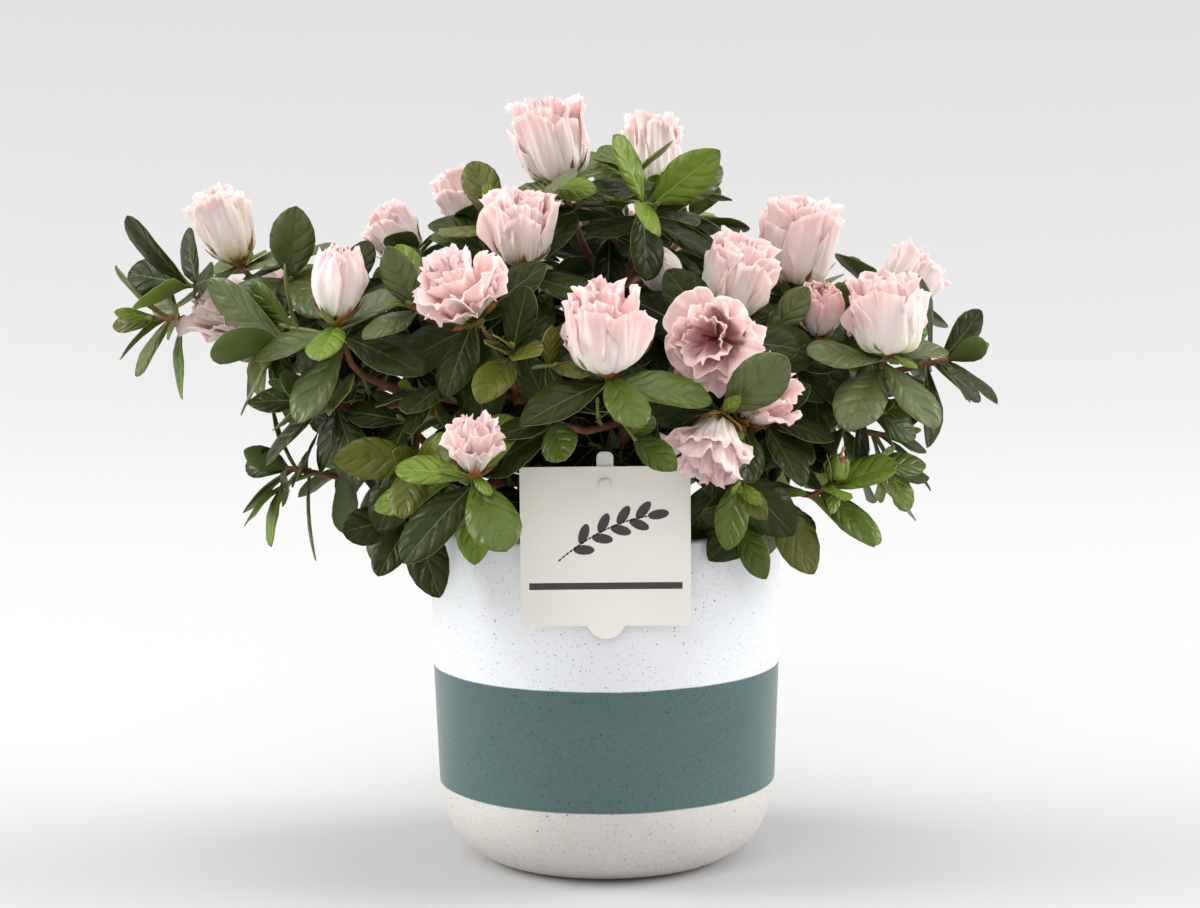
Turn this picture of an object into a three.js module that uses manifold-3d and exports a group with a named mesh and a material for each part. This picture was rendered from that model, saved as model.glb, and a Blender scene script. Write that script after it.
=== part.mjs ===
// A potted azalea in bloom: a banded stoneware pot, compost, a short woody trunk with its boughs,
// masses of leafy flowering twigs, and a plain card on a clear pick.
// Millimetres, +Z up. The origin is the centre of the pot's flat underside, and the front faces -Y.
import * as THREE from 'three';
import { mergeVertices } from 'three/addons/utils/BufferGeometryUtils.js';
import Module from 'manifold-3d';

const wasm = await Module();
wasm.setup();

// Driving dimensions
const clear = 0.3; // gap between pieces that meet
const golden = THREE.MathUtils.degToRad(137.5);
const seeds = { shoots: 300, leaves: 5600 };

const pot = {
  height: 136.6,
  rim: 70.7, // outer radius at the top
  waist: [69.9, 79.9], // outer radius and height where the white glaze ends
  shoulder: [68.1, 32], // outer radius and height where the rounded foot begins
  foot: 41, // radius of the flat underside
  wall: 5.4,
  lip: 1.5, // radius of the rounded rim
  throat: 12, // how far under the rim the wall has its full thickness
  floor: 9,
  corner: 6, // how much the flat floor inside is smaller than the underside
  segments: 36,
};
const compost = { top: 120, gap: 1.2, segments: 24 };
const trunk = {
  foot: [3, -2, 120.3],
  bend: [6, 1, 142],
  top: [-3, 5, 172],
  radii: [11.5, 8.6, 7.4, 6.8, 6.2, 5.6, 4.8], // from the root flare to the fork
  sides: 14,
  ribs: 5, // roots that show in the flare
  ribDepth: 0.14,
};
const bough = { thick: 3.3, thin: 2.2, sides: 6, steps: 3, leadIn: 13 };
const twig = { thick: 1.8, thin: 1.25, sides: 3, steps: 2 };
const knot = { radius: 3.4, start: 2.5 }; // the swollen node where a mass's twigs part
const leaf = {
  long: 39,
  width: 0.5, // of its length
  droop: 0.11,
  fold: 0.09,
  wideAt: 0.36,
  narrowAt: 0.76,
  root: 0.15, // how far its foot is sunk past the twig's centre line
  ownShare: 0.3, // the stretch near its foot that may touch leaves of its own whorl
  gap: 1.8, // least room between the sheets of two leaves
  ownGap: 1.2, // the same within one whorl
  rodGap: 0.9,
  sag: 0.1, // how far its tip is drawn down
  outward: 0.8, // how far a whorl turns out from the crown, against its shoot's own way
  underBloom: [74, 104], // how far open the first and last leaf stand, in degrees
  onShoot: [26, 98],
  bloomCount: 7,
  shootCount: 8,
  fewest: 3, // a shoot that finds room for fewer leaves is left out
};
const bloom = { sides: 6, sunk: 2.2, middle: 0.58, wave: 0.1 };
// What is kept free round a twig, a leaf or a bloom: millimetres, or a share of the bloom's own size
const spare = {
  twig: 2.5, // from the pot, the compost and the card
  twigs: 0.8, // between twigs of different masses
  twigBloom: 1.12,
  blooms: 0.86,
  bloomTwig: 1.15,
  leaf: 1.2, // from the pot, the compost and the card
  leafBloom: 1.04,
};
// Shoots that a mass adds by rule: how far out they go, how they turn up and what they bear
const ruled = {
  nearest: 22, farthest: 100, step: 3, reach: 0.74, reachMore: 0.14, rise: 0.45,
  leafy: 20, openLong: 24, otherLong: 29, budWide: 22, otherWide: 31, more: 5,
};
const crown = {
  core: [-6, 2, 166], left: 158, right: 138, front: 112, back: 128, up: 122, down: 44, // reach from the core
  split: 16, deepFront: 90, deepBack: -30, // whorls this side and that of split turn out from these depths
};
const card = { wide: 64.4, low: 106.2, high: 167, back: -72.2, thick: 0.6, tabRadius: 7.6, tabZ: 108.8 };
const pick = {
  holeZ: 160, hole: 1.75, pin: 1.4, button: 2.5, buttonThick: 0.8, overlap: 0.4, wide: 6.4, thick: 1.3,
  foot: -60.5, low: 86, bendLow: 142, bendHigh: 153, top: 172.5,
};

// Each mass grows from its hub. A bloom is given by its foot, its far end, its width and its form;
// form 'leafy' is a shoot with leaves only. fill adds shoots by rule, and flowers says how many of
// those bear a bloom. rise is the height on the trunk where the mass's bough leaves it.
const masses = {
  front: {
    hub: [9, -50, 182], rise: 144, fill: 2, flowers: 0, spread: 50, look: [0.1, -1, 0.2],
    shoots: [[[1, -98, 205], [-1, -104, 237], 34, 'goblet']],
  },
  centreLeft: {
    hub: [-34, -46, 192], rise: 152, fill: 2, flowers: 0, spread: 50, look: [-0.4, -1, 0.2],
    shoots: [[[-50, -72, 224], [-60, -92, 233], 38, 'open']],
  },
  rightFront: {
    hub: [30, -34, 194], rise: 156, fill: 1, flowers: 0, spread: 50, look: [0.4, -0.8, 0.6],
    shoots: [[[44, -62, 214], [39, -86, 218], 38, 'open'], [[28, -22, 228], [19, -28, 245], 20, 'bud'],
      [[46, -40, 222], [56, -47, 250], 32, 'goblet']],
  },
  rightLow: {
    hub: [42, -46, 172], rise: 147, fill: 1, flowers: 0, spread: 50, look: [0.6, -0.9, 0],
    shoots: [[[53, -66, 184], [68, -80, 198], 30, 'open'], [[43, -84, 187], [33, -99, 170], 31, 'open'],
      [[50, -84, 160], [52, -100, 146], 0, 'leafy']],
  },
  rightShoulder: {
    hub: [62, -12, 198], rise: 160, fill: 2, flowers: 0, spread: 55, look: [0.6, -0.3, 0.8],
    shoots: [[[76, -2, 231], [80, -6, 264], 36, 'goblet'], [[84, -26, 212], [84, -38, 231], 22, 'bud']],
  },
  rightTip: {
    hub: [84, -16, 186], rise: 154, fill: 4, flowers: 0, spread: 62, look: [1, -0.2, 0.1],
    shoots: [[[109, -45, 207], [108, -50, 237], 33, 'goblet'], [[108, -20, 182], [132, -26, 168], 0, 'leafy'],
      [[138, -16, 202], [158, -20, 205], 0, 'leafy']],
  },
  lowRight: {
    hub: [62, -38, 157], rise: 141, fill: 2, flowers: 0, spread: 60, look: [1, -0.5, -0.1],
    shoots: [[[88, -52, 158], [91, -58, 172], 7, 'spent']],
  },
  leftFront: {
    hub: [-72, -44, 190], rise: 155, fill: 3, flowers: 0, spread: 60, look: [-0.8, -0.8, 0.1],
    shoots: [[[-101, -64, 222], [-98, -68, 249], 25, 'bud']],
  },
  leftShoulder: {
    hub: [-98, 2, 202], rise: 160, fill: 2, flowers: 0, spread: 60, look: [-1, 0, 0.2],
    shoots: [[[-178, -8, 220], [-198, -13, 217], 0, 'leafy'],
      [[-145, -2, 242], [-154, -4, 270], 26, 'goblet'], [[-138, -14, 214], [-164, -26, 212], 28, 'open'],
      [[-124, 26, 225], [-138, 34, 234], 26, 'open']],
  },
  leftLow: {
    hub: [-66, -22, 166], rise: 148, fill: 3, flowers: 0, spread: 60, look: [-1, -0.4, -0.1],
    shoots: [[[-108, -26, 188], [-132, -34, 172], 0, 'leafy'],
      [[-80, -66, 168], [-96, -84, 158], 0, 'leafy']],
  },
  lowLeft: {
    hub: [-44, -56, 159], rise: 138, fill: 2, flowers: 0, spread: 50, look: [-0.4, -1, 0],
    shoots: [[[-48, -108, 169], [-47, -114, 190], 24, 'open']],
  },
  upperLeft: {
    hub: [-40, -2, 212], rise: 165, fill: 3, flowers: 0, spread: 60, look: [-0.5, -0.2, 0.9],
    shoots: [[[-52, 18, 256], [-60, 16, 277], 24, 'goblet'], [[-31, -46, 242], [-31, -52, 269], 30, 'goblet'],
      [[-78, 22, 242], [-92, 24, 260], 26, 'goblet']],
  },
  crownTop: {
    hub: [4, 4, 226], rise: 169, fill: 3, flowers: 0, spread: 55, look: [0.1, 0, 1],
    shoots: [[[-16, -12, 273], [-23, -16, 304], 33, 'goblet'], [[20, 28, 268], [20, 32, 298], 30, 'goblet'],
      [[37, 46, 257], [49, 50, 272], 0, 'leafy']],
  },
  backRight: {
    hub: [62, 54, 190], rise: 158, fill: 8, flowers: 4, spread: 66, look: [0.7, 1, 0.4],
    shoots: [[[122, 40, 222], [134, 46, 238], 27, 'goblet']],
  },
  backLeft: {
    hub: [-74, 60, 192], rise: 158, fill: 8, flowers: 4, spread: 66, look: [-0.9, 1, 0.3], shoots: [],
  },
  backTop: {
    hub: [-8, 56, 212], rise: 164, fill: 7, flowers: 4, spread: 62, look: [0, 1, 0.8], shoots: [],
  },
  backLow: {
    hub: [0, 72, 168], rise: 146, fill: 7, flowers: 3, spread: 66, look: [0, 1, -0.1], shoots: [],
  },
};
const forms = {
  // share of the width low down, at the belly and at the rim, and how deep the mouth is
  goblet: { low: 0.6, belly: 1, rim: 0.86, mouth: 0.34 },
  open: { low: 0.42, belly: 0.86, rim: 1, mouth: 0.5 },
  bud: { low: 0.7, belly: 1, rim: 0.55, mouth: 0.16 },
  spent: { low: 0.8, belly: 1, rim: 0.5, mouth: 0.2 },
};
const ruleForms = ['goblet', 'open', 'goblet', 'bud'];

// Vectors as plain arrays
const add = (a, b) => [a[0] + b[0], a[1] + b[1], a[2] + b[2]];
const sub = (a, b) => [a[0] - b[0], a[1] - b[1], a[2] - b[2]];
const scale = (a, s) => [a[0] * s, a[1] * s, a[2] * s];
const along = (a, b, s) => [a[0] + b[0] * s, a[1] + b[1] * s, a[2] + b[2] * s];
const dot = (a, b) => a[0] * b[0] + a[1] * b[1] + a[2] * b[2];
const cross = (a, b) => [a[1] * b[2] - a[2] * b[1], a[2] * b[0] - a[0] * b[2], a[0] * b[1] - a[1] * b[0]];
const size = (a) => Math.sqrt(dot(a, a));
const unit = (a) => scale(a, 1 / size(a));
const rad = (degrees) => degrees * Math.PI / 180;

// The same even spread of numbers from 0 to 1 for the same seed
function sequence(seed) {
  let state = (seed * 7919 + 101) % 2147483647;
  return () => {
    state = (state * 48271) % 2147483647;
    return state / 2147483647;
  };
}

// Two directions square to an axis and to each other
function sides(axis) {
  const helper = Math.abs(axis[2]) < 0.9 ? [0, 0, 1] : [1, 0, 0];
  const first = unit(cross(helper, axis));
  return [first, cross(axis, first)];
}

// A point on the curve that leaves a towards b and ends at c
function curvePoint(a, b, c, t) {
  const keep = 1 - t;
  return add(add(scale(a, keep * keep), scale(b, 2 * keep * t)), scale(c, t * t));
}

function curvePoints(a, b, c, steps) {
  return Array.from({ length: steps + 1 }, (_, i) => curvePoint(a, b, c, i / steps));
}

// Shortest distance between the stretches p to q and a to b
function stretchGap(p, q, a, b) {
  const d1 = sub(q, p);
  const d2 = sub(b, a);
  const r = sub(p, a);
  const a1 = dot(d1, d1);
  const e = dot(d2, d2);
  const f = dot(d2, r);
  const c = dot(d1, r);
  const m = dot(d1, d2);
  const span = a1 * e - m * m;
  let s = span > 1e-9 ? Math.min(1, Math.max(0, (m * f - c * e) / span)) : 0;
  let t = (m * s + f) / e;
  if (t < 0 || t > 1) {
    t = Math.min(1, Math.max(0, t));
    s = Math.min(1, Math.max(0, (m * t - c) / a1));
  }
  return size(sub(along(p, d1, s), along(a, d2, t)));
}

// What is already grown: rods for wood, bells for blooms and blades for leaves
const rods = [];
const bells = [];
const blades = [];

function addRods(points, radii, owner) {
  for (let i = 0; i + 1 < points.length; i++) {
    rods.push({ a: points[i], b: points[i + 1], r: Math.max(radii[i], radii[i + 1]), owner });
  }
}

function nearPot(p, room) {
  const out = Math.hypot(p[0], p[1]);
  const inWall = out > pot.rim - pot.wall - room && out < pot.rim + room && p[2] < pot.height + room;
  return inWall || (out < pot.rim && p[2] < compost.top + room);
}

function nearCard(p, room) {
  const front = card.back - card.thick - room;
  const onCard = p[1] > front && p[1] < card.back + room && Math.abs(p[0]) < card.wide / 2 + room;
  const onPick = p[1] > front - 1 && p[1] < pick.foot + 1 + room && Math.abs(p[0]) < pick.wide / 2 + room;
  return (onCard && p[2] > card.low - 6 && p[2] < card.high + room) || (onPick && p[2] < pick.top + room);
}

// The space before the card's face, which the foliage leaves open
function hidesCard(p) {
  return p[1] < card.back && Math.abs(p[0]) < card.wide / 2 - 4 && p[2] < card.high + 1 && p[2] > card.low;
}

// How far a point is from a bloom's middle, where 1 is on its outside
function bellShare(bell, p) {
  const d = sub(p, bell.middle);
  const h = dot(d, bell.axis);
  const out = Math.sqrt(Math.max(0, dot(d, d) - h * h));
  return Math.hypot(h / bell.half, out / bell.radius);
}

function twigPath(from, collar, axis) {
  const bend = along(collar, axis, -0.5 * size(sub(collar, from)));
  return curvePoints(from, bend, collar, twig.steps);
}

function twigRadii() {
  const slim = (twig.thin - twig.thick) / twig.steps;
  return Array.from({ length: twig.steps + 1 }, (_, i) => twig.thick + slim * i);
}

function twigFree(points, radii, mass) {
  for (let i = 0; i + 1 < points.length; i++) {
    for (let k = 0; k <= 4; k++) {
      const p = along(points[i], sub(points[i + 1], points[i]), k / 4);
      if (nearPot(p, spare.twig) || nearCard(p, spare.twig)) return false;
      if (bells.some((bell) => bellShare(bell, p) < spare.twigBloom)) return false;
    }
    const clash = rods.some((rod) => rod.owner !== mass
      && stretchGap(points[i], points[i + 1], rod.a, rod.b) < rod.r + radii[i] + spare.twigs);
    if (clash) return false;
  }
  return true;
}

function bellOf(foot, far, width) {
  const axis = unit(sub(far, foot));
  const length = size(sub(far, foot));
  return { middle: along(foot, axis, length * bloom.middle), axis, half: length * 0.5, radius: width / 2 };
}

function bellFree(bell, mass) {
  const clashBell = bells.some((other) => {
    const away = size(sub(other.middle, bell.middle));
    return away < spare.blooms * (Math.max(other.radius, other.half) + Math.max(bell.radius, bell.half));
  });
  const clashRod = rods.some((rod) => rod.owner !== mass && [0, 0.33, 0.67, 1].some((t) =>
    bellShare(bell, along(rod.a, sub(rod.b, rod.a), t)) < spare.bloomTwig));
  return !clashBell && !clashRod;
}

// Where a way out from the core meets the crown's outline, as a share of the reach
function reachShare(p) {
  const d = sub(p, crown.core);
  const x = d[0] / (d[0] < 0 ? crown.left : crown.right);
  const y = d[1] / (d[1] < 0 ? crown.front : crown.back);
  const z = d[2] / (d[2] < 0 ? crown.down : crown.up);
  return Math.sqrt(x * x + y * y + z * z);
}

// The trunk and the boughs, one to each mass
function growLimbs() {
  const trunkPoints = curvePoints(trunk.foot, trunk.bend, trunk.top, trunk.radii.length - 1);
  addRods(trunkPoints, trunk.radii, 'trunk');
  const limbs = {};
  for (const [name, mass] of Object.entries(masses)) {
    const share = (mass.rise - trunk.foot[2]) / (trunk.top[2] - trunk.foot[2]);
    const start = curvePoint(trunk.foot, trunk.bend, trunk.top, share);
    const out = sub(mass.hub, start);
    const bend = add(start, [out[0] * 0.5, out[1] * 0.5, out[2] * 0.28]);
    const heading = unit(sub(mass.hub, bend));
    const end = along(mass.hub, heading, -bough.leadIn);
    const points = curvePoints(start, bend, end, bough.steps);
    const radii = points.map((_, i) => bough.thick + (bough.thin - bough.thick) * (i / bough.steps));
    limbs[name] = { points, radii, end, heading };
    addRods(points, radii, name);
  }
  return { trunkPoints, limbs };
}

// Shoots that the rule adds, spread round the way that the mass looks
function ruleShoot(mass, k, index) {
  const draw = sequence(seeds.shoots + index);
  const look = unit(mass.look);
  const [first, second] = sides(look);
  const tilt = rad(mass.spread) * Math.sqrt((k + 0.6) / mass.fill);
  const turn = k * golden + 0.8;
  const sideways = add(scale(first, Math.cos(turn)), scale(second, Math.sin(turn)));
  const heading = unit(add(scale(look, Math.cos(tilt)), scale(sideways, Math.sin(tilt))));
  const stop = ruled.reach + ruled.reachMore * draw();
  let collar = along(mass.hub, heading, ruled.nearest);
  for (let far = ruled.nearest; far < ruled.farthest && reachShare(collar) < stop; far += ruled.step) {
    collar = along(mass.hub, heading, far);
  }
  const axis = unit(add(heading, [0, 0, ruled.rise]));
  const flowering = k < mass.flowers;
  const form = flowering ? ruleForms[(k + index) % ruleForms.length] : 'leafy';
  const long = form === 'open' ? ruled.openLong : ruled.otherLong;
  const wide = form === 'bud' ? ruled.budWide : ruled.otherWide;
  const length = flowering ? long + ruled.more * draw() : ruled.leafy;
  const width = flowering ? wide + ruled.more * draw() : 0;
  return { foot: collar, far: along(collar, axis, length), width, form };
}

function growShoots(limbs) {
  const shoots = [];
  let index = 0;
  for (const [name, mass] of Object.entries(masses)) {
    const chosen = mass.shoots.map(([foot, far, width, form]) => ({ foot, far, width, form, chosen: true }));
    const added = Array.from({ length: mass.fill }, (_, k) => ruleShoot(mass, k, index + k));
    for (const plan of [...chosen, ...added]) {
      const axis = unit(sub(plan.far, plan.foot));
      const points = twigPath(mass.hub, plan.foot, axis);
      const radii = twigRadii();
      const bell = plan.width > 0 ? bellOf(plan.foot, plan.far, plan.width) : null;
      const free = twigFree(points, radii, name) && (!bell || bellFree(bell, name));
      if (free || plan.chosen) {
        const deep = plan.foot[1] < crown.split ? crown.deepFront : crown.deepBack;
        const outward = unit(sub(plan.foot, [crown.core[0], deep, crown.core[2] - 12]));
        const whorl = unit(along(axis, outward, leaf.outward));
        shoots.push({ ...plan, mass: name, index, axis, whorl, points, radii, fits: free });
        addRods(points, radii, name);
        if (bell) bells.push({ ...bell, owner: shoots.length - 1 });
      }
      index += 1;
    }
    const stem = [along(limbs[name].end, limbs[name].heading, clear), mass.hub];
    addRods(stem, [bough.thin, knot.radius], name);
  }
  return shoots;
}

// Half the width of a leaf at a share of its length
function halfWidth(blade, share) {
  const flat = share < 0 || share > 1 ? 0 : Math.sin(Math.PI * Math.pow(share, 0.86));
  return blade.width * 0.5 * Math.pow(flat, 0.75);
}

// Height of the leaf's sheet over its frame: it droops along and folds up across
function sheetHeight(blade, u, v) {
  return -blade.droop * u * u / blade.length + leaf.fold * Math.abs(v);
}

function bladePoint(blade, u, v, lift) {
  const w = sheetHeight(blade, u, v) + lift;
  return [0, 1, 2].map((i) => blade.foot[i] + blade.out[i] * u + blade.side[i] * v + blade.up[i] * w);
}

// The rim and the midrib as runs of points, for testing against other leaves
const runShares = [0, 0.15, 0.3, 0.45, 0.6, 0.75, 0.9, 1];

function bladeRuns(blade) {
  const edge = (share, sign) => bladePoint(blade, share * blade.length, sign * halfWidth(blade, share), 0);
  return [1, -1, 0].map((sign) => runShares.map((share) => edge(share, sign)));
}

// Does the stretch p to q pass through the blade or come within room of it?
function pierces(blade, p, q, room, fromShare) {
  const far = size(sub(q, p));
  const steps = Math.max(1, Math.ceil(far / 2.5));
  let last = 0;
  let lastIn = false;
  for (let i = 0; i <= steps; i++) {
    const d = sub(along(p, sub(q, p), i / steps), blade.foot);
    const u = dot(d, blade.out);
    const v = dot(d, blade.side);
    const h = dot(d, blade.up) - sheetHeight(blade, u, v);
    const share = u / blade.length;
    const inside = share > fromShare && share < 1.03 && Math.abs(v) < halfWidth(blade, share) + 0.7;
    if (inside && Math.abs(h) < room) return true;
    if (i > 0 && (inside || lastIn) && h * last < 0) return true;
    last = h;
    lastIn = inside;
  }
  return false;
}

function bladeFree(blade) {
  const runs = blade.runs;
  const firstOwn = Math.ceil(leaf.ownShare / runShares[1]) - 1;
  for (const run of runs) {
    for (let i = 2; i < run.length; i++) {
      if (nearPot(run[i], spare.leaf) || nearCard(run[i], spare.leaf) || hidesCard(run[i])) return false;
    }
  }
  for (const bell of bells) {
    const from = bell.owner === blade.shoot ? 3 : 1;
    if (size(sub(bell.middle, blade.centre)) > 25 + blade.length / 2) continue;
    for (const run of runs) {
      for (let i = from; i < run.length; i++) {
        if (bellShare(bell, run[i]) < spare.leafBloom) return false;
      }
    }
  }
  for (const rod of rods) {
    if (rod.shoot === blade.shoot) continue;
    const middle = scale(add(rod.a, rod.b), 0.5);
    if (size(sub(middle, blade.centre)) > blade.length * 0.62 + size(sub(rod.a, rod.b)) / 2 + 3) continue;
    if (pierces(blade, rod.a, rod.b, rod.r + leaf.rodGap, 0.14)) return false;
    for (const run of runs) {
      for (let i = 1; i + 1 < run.length; i++) {
        if (stretchGap(run[i], run[i + 1], rod.a, rod.b) < rod.r + leaf.rodGap) return false;
      }
    }
  }
  for (const other of blades) {
    if (size(sub(other.centre, blade.centre)) > (other.length + blade.length) * 0.55) continue;
    const own = other.shoot === blade.shoot;
    const room = own ? leaf.ownGap : leaf.gap;
    const from = own ? leaf.ownShare : 0.02;
    const skip = own ? firstOwn : 0;
    for (let r = 0; r < runs.length; r++) {
      for (let i = skip; i + 1 < runs[r].length; i++) {
        if (pierces(other, runs[r][i], runs[r][i + 1], room, from)) return false;
        if (pierces(blade, other.runs[r][i], other.runs[r][i + 1], room, from)) return false;
      }
    }
  }
  return true;
}

function bladeAt(shoot, back, turn, open, length) {
  const { points, whorl } = shoot;
  const last = points[points.length - 1];
  const foot = along(last, unit(sub(last, points[points.length - 2])), -back);
  const [first, second] = sides(whorl);
  const sideways = add(scale(first, Math.cos(turn)), scale(second, Math.sin(turn)));
  const level = add(scale(whorl, Math.cos(open)), scale(sideways, Math.sin(open)));
  const out = unit(add(level, [0, 0, -leaf.sag]));
  const wish = add(whorl, [0, 0, 0.25]);
  const up = unit(along(wish, out, -dot(wish, out)));
  const blade = { foot, out, up, side: cross(up, out), length, width: length * leaf.width };
  blade.droop = leaf.droop;
  blade.shoot = shoot.index;
  blade.mass = shoot.mass;
  blade.centre = bladePoint(blade, length / 2, 0, 0);
  blade.runs = bladeRuns(blade);
  return blade;
}

// Leaves stand in a whorl under the bloom, each a golden turn on from the last and further open
function growLeaves(shoot) {
  const draw = sequence(seeds.leaves + shoot.index);
  const flowering = shoot.width > 12;
  const open = flowering ? leaf.underBloom : leaf.onShoot;
  const count = flowering ? leaf.bloomCount : leaf.shootCount;
  const start = draw() * Math.PI * 2;
  const grownLeaves = [];
  for (let j = 0; j < count; j++) {
    const age = j / (count - 1);
    const wander = (draw() - 0.5) * 0.3;
    const angle = rad(open[0] + (open[1] - open[0]) * age) + (draw() - 0.5) * 0.2;
    const grown = flowering ? 0.84 + 0.16 * Math.sin(Math.PI * age) : 0.5 + 0.5 * Math.sqrt(age);
    const length = leaf.long * grown * (0.84 + 0.2 * draw());
    for (const shift of [0, 0.3, -0.3, 0.6, -0.6]) {
      const blade = bladeAt(shoot, 1.5 + 1.5 * j, start + j * golden + wander + shift, angle, length);
      if (bladeFree(blade)) {
        blades.push(blade);
        grownLeaves.push(blade);
        break;
      }
    }
  }
  if (!flowering && grownLeaves.length < leaf.fewest) {
    blades.length -= grownLeaves.length;
    return false;
  }
  return true;
}

const { trunkPoints, limbs } = growLimbs();
const shoots = growShoots(limbs);
for (const rod of rods) rod.shoot = -1;
for (const shoot of shoots) {
  for (const rod of rods) {
    if (shoot.points.includes(rod.a) && shoot.points.includes(rod.b)) rod.shoot = shoot.index;
  }
}
for (const bell of bells) bell.owner = shoots[bell.owner].index;
const kept = shoots.filter(growLeaves);

// A solid from a geometry, with shared corners merged and empty triangles dropped
function solid(geometry) {
  const bare = geometry.clone();
  bare.deleteAttribute('normal');
  bare.deleteAttribute('uv');
  const merged = mergeVertices(bare, 1e-4);
  const index = merged.index.array;
  const triangles = [];
  for (let i = 0; i < index.length; i += 3) {
    const [a, b, c] = [index[i], index[i + 1], index[i + 2]];
    if (a !== b && b !== c && c !== a) triangles.push(a, b, c);
  }
  const mesh = new wasm.Mesh({
    numProp: 3,
    vertProperties: new Float32Array(merged.attributes.position.array),
    triVerts: new Uint32Array(triangles),
  });
  mesh.merge();
  return new wasm.Manifold(mesh);
}

function geometryOf(body) {
  const mesh = body.getMesh();
  const geometry = new THREE.BufferGeometry();
  geometry.setAttribute('position', new THREE.BufferAttribute(new Float32Array(mesh.vertProperties), 3));
  geometry.setIndex(new THREE.BufferAttribute(new Uint32Array(mesh.triVerts), 1));
  geometry.computeVertexNormals();
  return geometry;
}

// The largest outer skin of a solid: loose scraps go, and sealed hollows are filled
function largest(body) {
  const parts = body.decompose().filter((part) => part.volume() > 0);
  parts.sort((a, b) => b.volume() - a.volume());
  return parts[0];
}

function joinAll(bodies) {
  let row = bodies;
  while (row.length > 1) {
    const next = [];
    for (let i = 0; i < row.length; i += 2) next.push(i + 1 < row.length ? row[i].add(row[i + 1]) : row[i]);
    row = next;
  }
  return row[0];
}

// A round bar turned on the lathe, then bent along a run of points
function taper(points, radii, sideCount, ribbed) {
  const last = points.length - 1;
  const profile = [new THREE.Vector2(0, 0)];
  points.forEach((_, i) => profile.push(new THREE.Vector2(radii[i], i)));
  profile.push(new THREE.Vector2(0, last));
  const geometry = new THREE.LatheGeometry(profile, sideCount);
  const place = geometry.attributes.position;
  const ways = points.map((p, i) => unit(sub(points[Math.min(i + 1, last)], points[Math.max(i - 1, 0)])));
  if (ribbed) ways[0] = [0, 0, 1];
  const firsts = [sides(ways[0])[0]];
  for (let i = 1; i <= last; i++) {
    firsts.push(unit(along(firsts[i - 1], ways[i], -dot(firsts[i - 1], ways[i]))));
  }
  for (let i = 0; i < place.count; i++) {
    const station = Math.round(place.getY(i));
    let [x, y] = [place.getZ(i), place.getX(i)];
    if (ribbed) {
      const rib = 1 + trunk.ribDepth * Math.cos(Math.atan2(y, x) * trunk.ribs) / (1 + station * station);
      [x, y] = [x * rib, y * rib];
    }
    const second = cross(ways[station], firsts[station]);
    place.setXYZ(i, ...add(points[station], add(scale(firsts[station], x), scale(second, y))));
  }
  return geometry;
}

// Six corners and eight faces: a folded upper side over a straight keel
function leafGeometry(blade) {
  const wide = halfWidth(blade, leaf.wideAt);
  const narrow = halfWidth(blade, leaf.narrowAt);
  const corners = [
    bladePoint(blade, -leaf.root, 0, 0),
    bladePoint(blade, leaf.wideAt * blade.length, -wide, 0),
    bladePoint(blade, leaf.narrowAt * blade.length, -narrow, 0),
    bladePoint(blade, blade.length, 0, 0),
    bladePoint(blade, leaf.narrowAt * blade.length, narrow, 0),
    bladePoint(blade, leaf.wideAt * blade.length, wide, 0),
  ];
  const faces = [0, 1, 5, 1, 4, 5, 1, 2, 4, 2, 3, 4, 3, 2, 1, 3, 1, 0, 3, 0, 5, 3, 5, 4];
  const geometry = new THREE.BufferGeometry();
  geometry.setAttribute('position', new THREE.BufferAttribute(new Float32Array(corners.flat()), 3));
  geometry.setIndex(faces);
  return geometry;
}

// A bloom as a cup with a wavy rim
function bloomGeometry(shoot) {
  const form = forms[shoot.form];
  const length = size(sub(shoot.far, shoot.foot));
  const radius = shoot.width / 2;
  const profile = [[0, -bloom.sunk], [radius * form.low, length * 0.16], [radius * form.belly, length * 0.6],
    [radius * form.rim, length], [0, length * (1 - form.mouth)]];
  const geometry = new THREE.LatheGeometry(profile.map(([r, h]) => new THREE.Vector2(r, h)), bloom.sides);
  const place = geometry.attributes.position;
  const [first, second] = sides(shoot.axis);
  for (let i = 0; i < place.count; i++) {
    const step = Math.round(Math.atan2(place.getX(i), place.getZ(i)) / (Math.PI * 2 / bloom.sides));
    const wave = Math.abs(place.getY(i) - length) < 0.01 && step % 2 ? -bloom.wave * length : 0;
    const across = add(scale(first, place.getZ(i)), scale(second, place.getX(i)));
    place.setXYZ(i, ...add(shoot.foot, add(across, scale(shoot.axis, place.getY(i) + wave))));
  }
  return geometry;
}

const scene = new THREE.Group();
function piece(name, body, color, roughness) {
  const material = new THREE.MeshStandardMaterial({ color, roughness, metalness: 0 });
  const mesh = new THREE.Mesh(geometryOf(body), material);
  mesh.name = name;
  scene.add(mesh);
}

// Pot wall from outside to inside, as one closed section
function potOutside() {
  const [shoulderR, shoulderZ] = pot.shoulder;
  const points = [[0, 0]];
  for (let i = 0; i <= 6; i++) {
    const turn = (Math.PI / 2) * (i / 6);
    points.push([pot.foot + (shoulderR - pot.foot) * Math.sin(turn), shoulderZ * (1 - Math.cos(turn))]);
  }
  points.push([pot.waist[0], pot.waist[1]]);
  return points;
}

function makePot() {
  const points = potOutside();
  for (let i = 0; i <= 4; i++) {
    const turn = Math.PI * (i / 4);
    const [out, up] = [Math.cos(turn) - 1, Math.sin(turn) - 1];
    points.push([pot.rim + pot.lip * out, pot.height + pot.lip * up]);
  }
  points.push([pot.rim - pot.wall, pot.height - pot.throat], ...potInside());
  const profile = points.map(([r, z]) => new THREE.Vector2(r, z));
  return solid(new THREE.LatheGeometry(profile, pot.segments).rotateX(Math.PI / 2));
}

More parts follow.
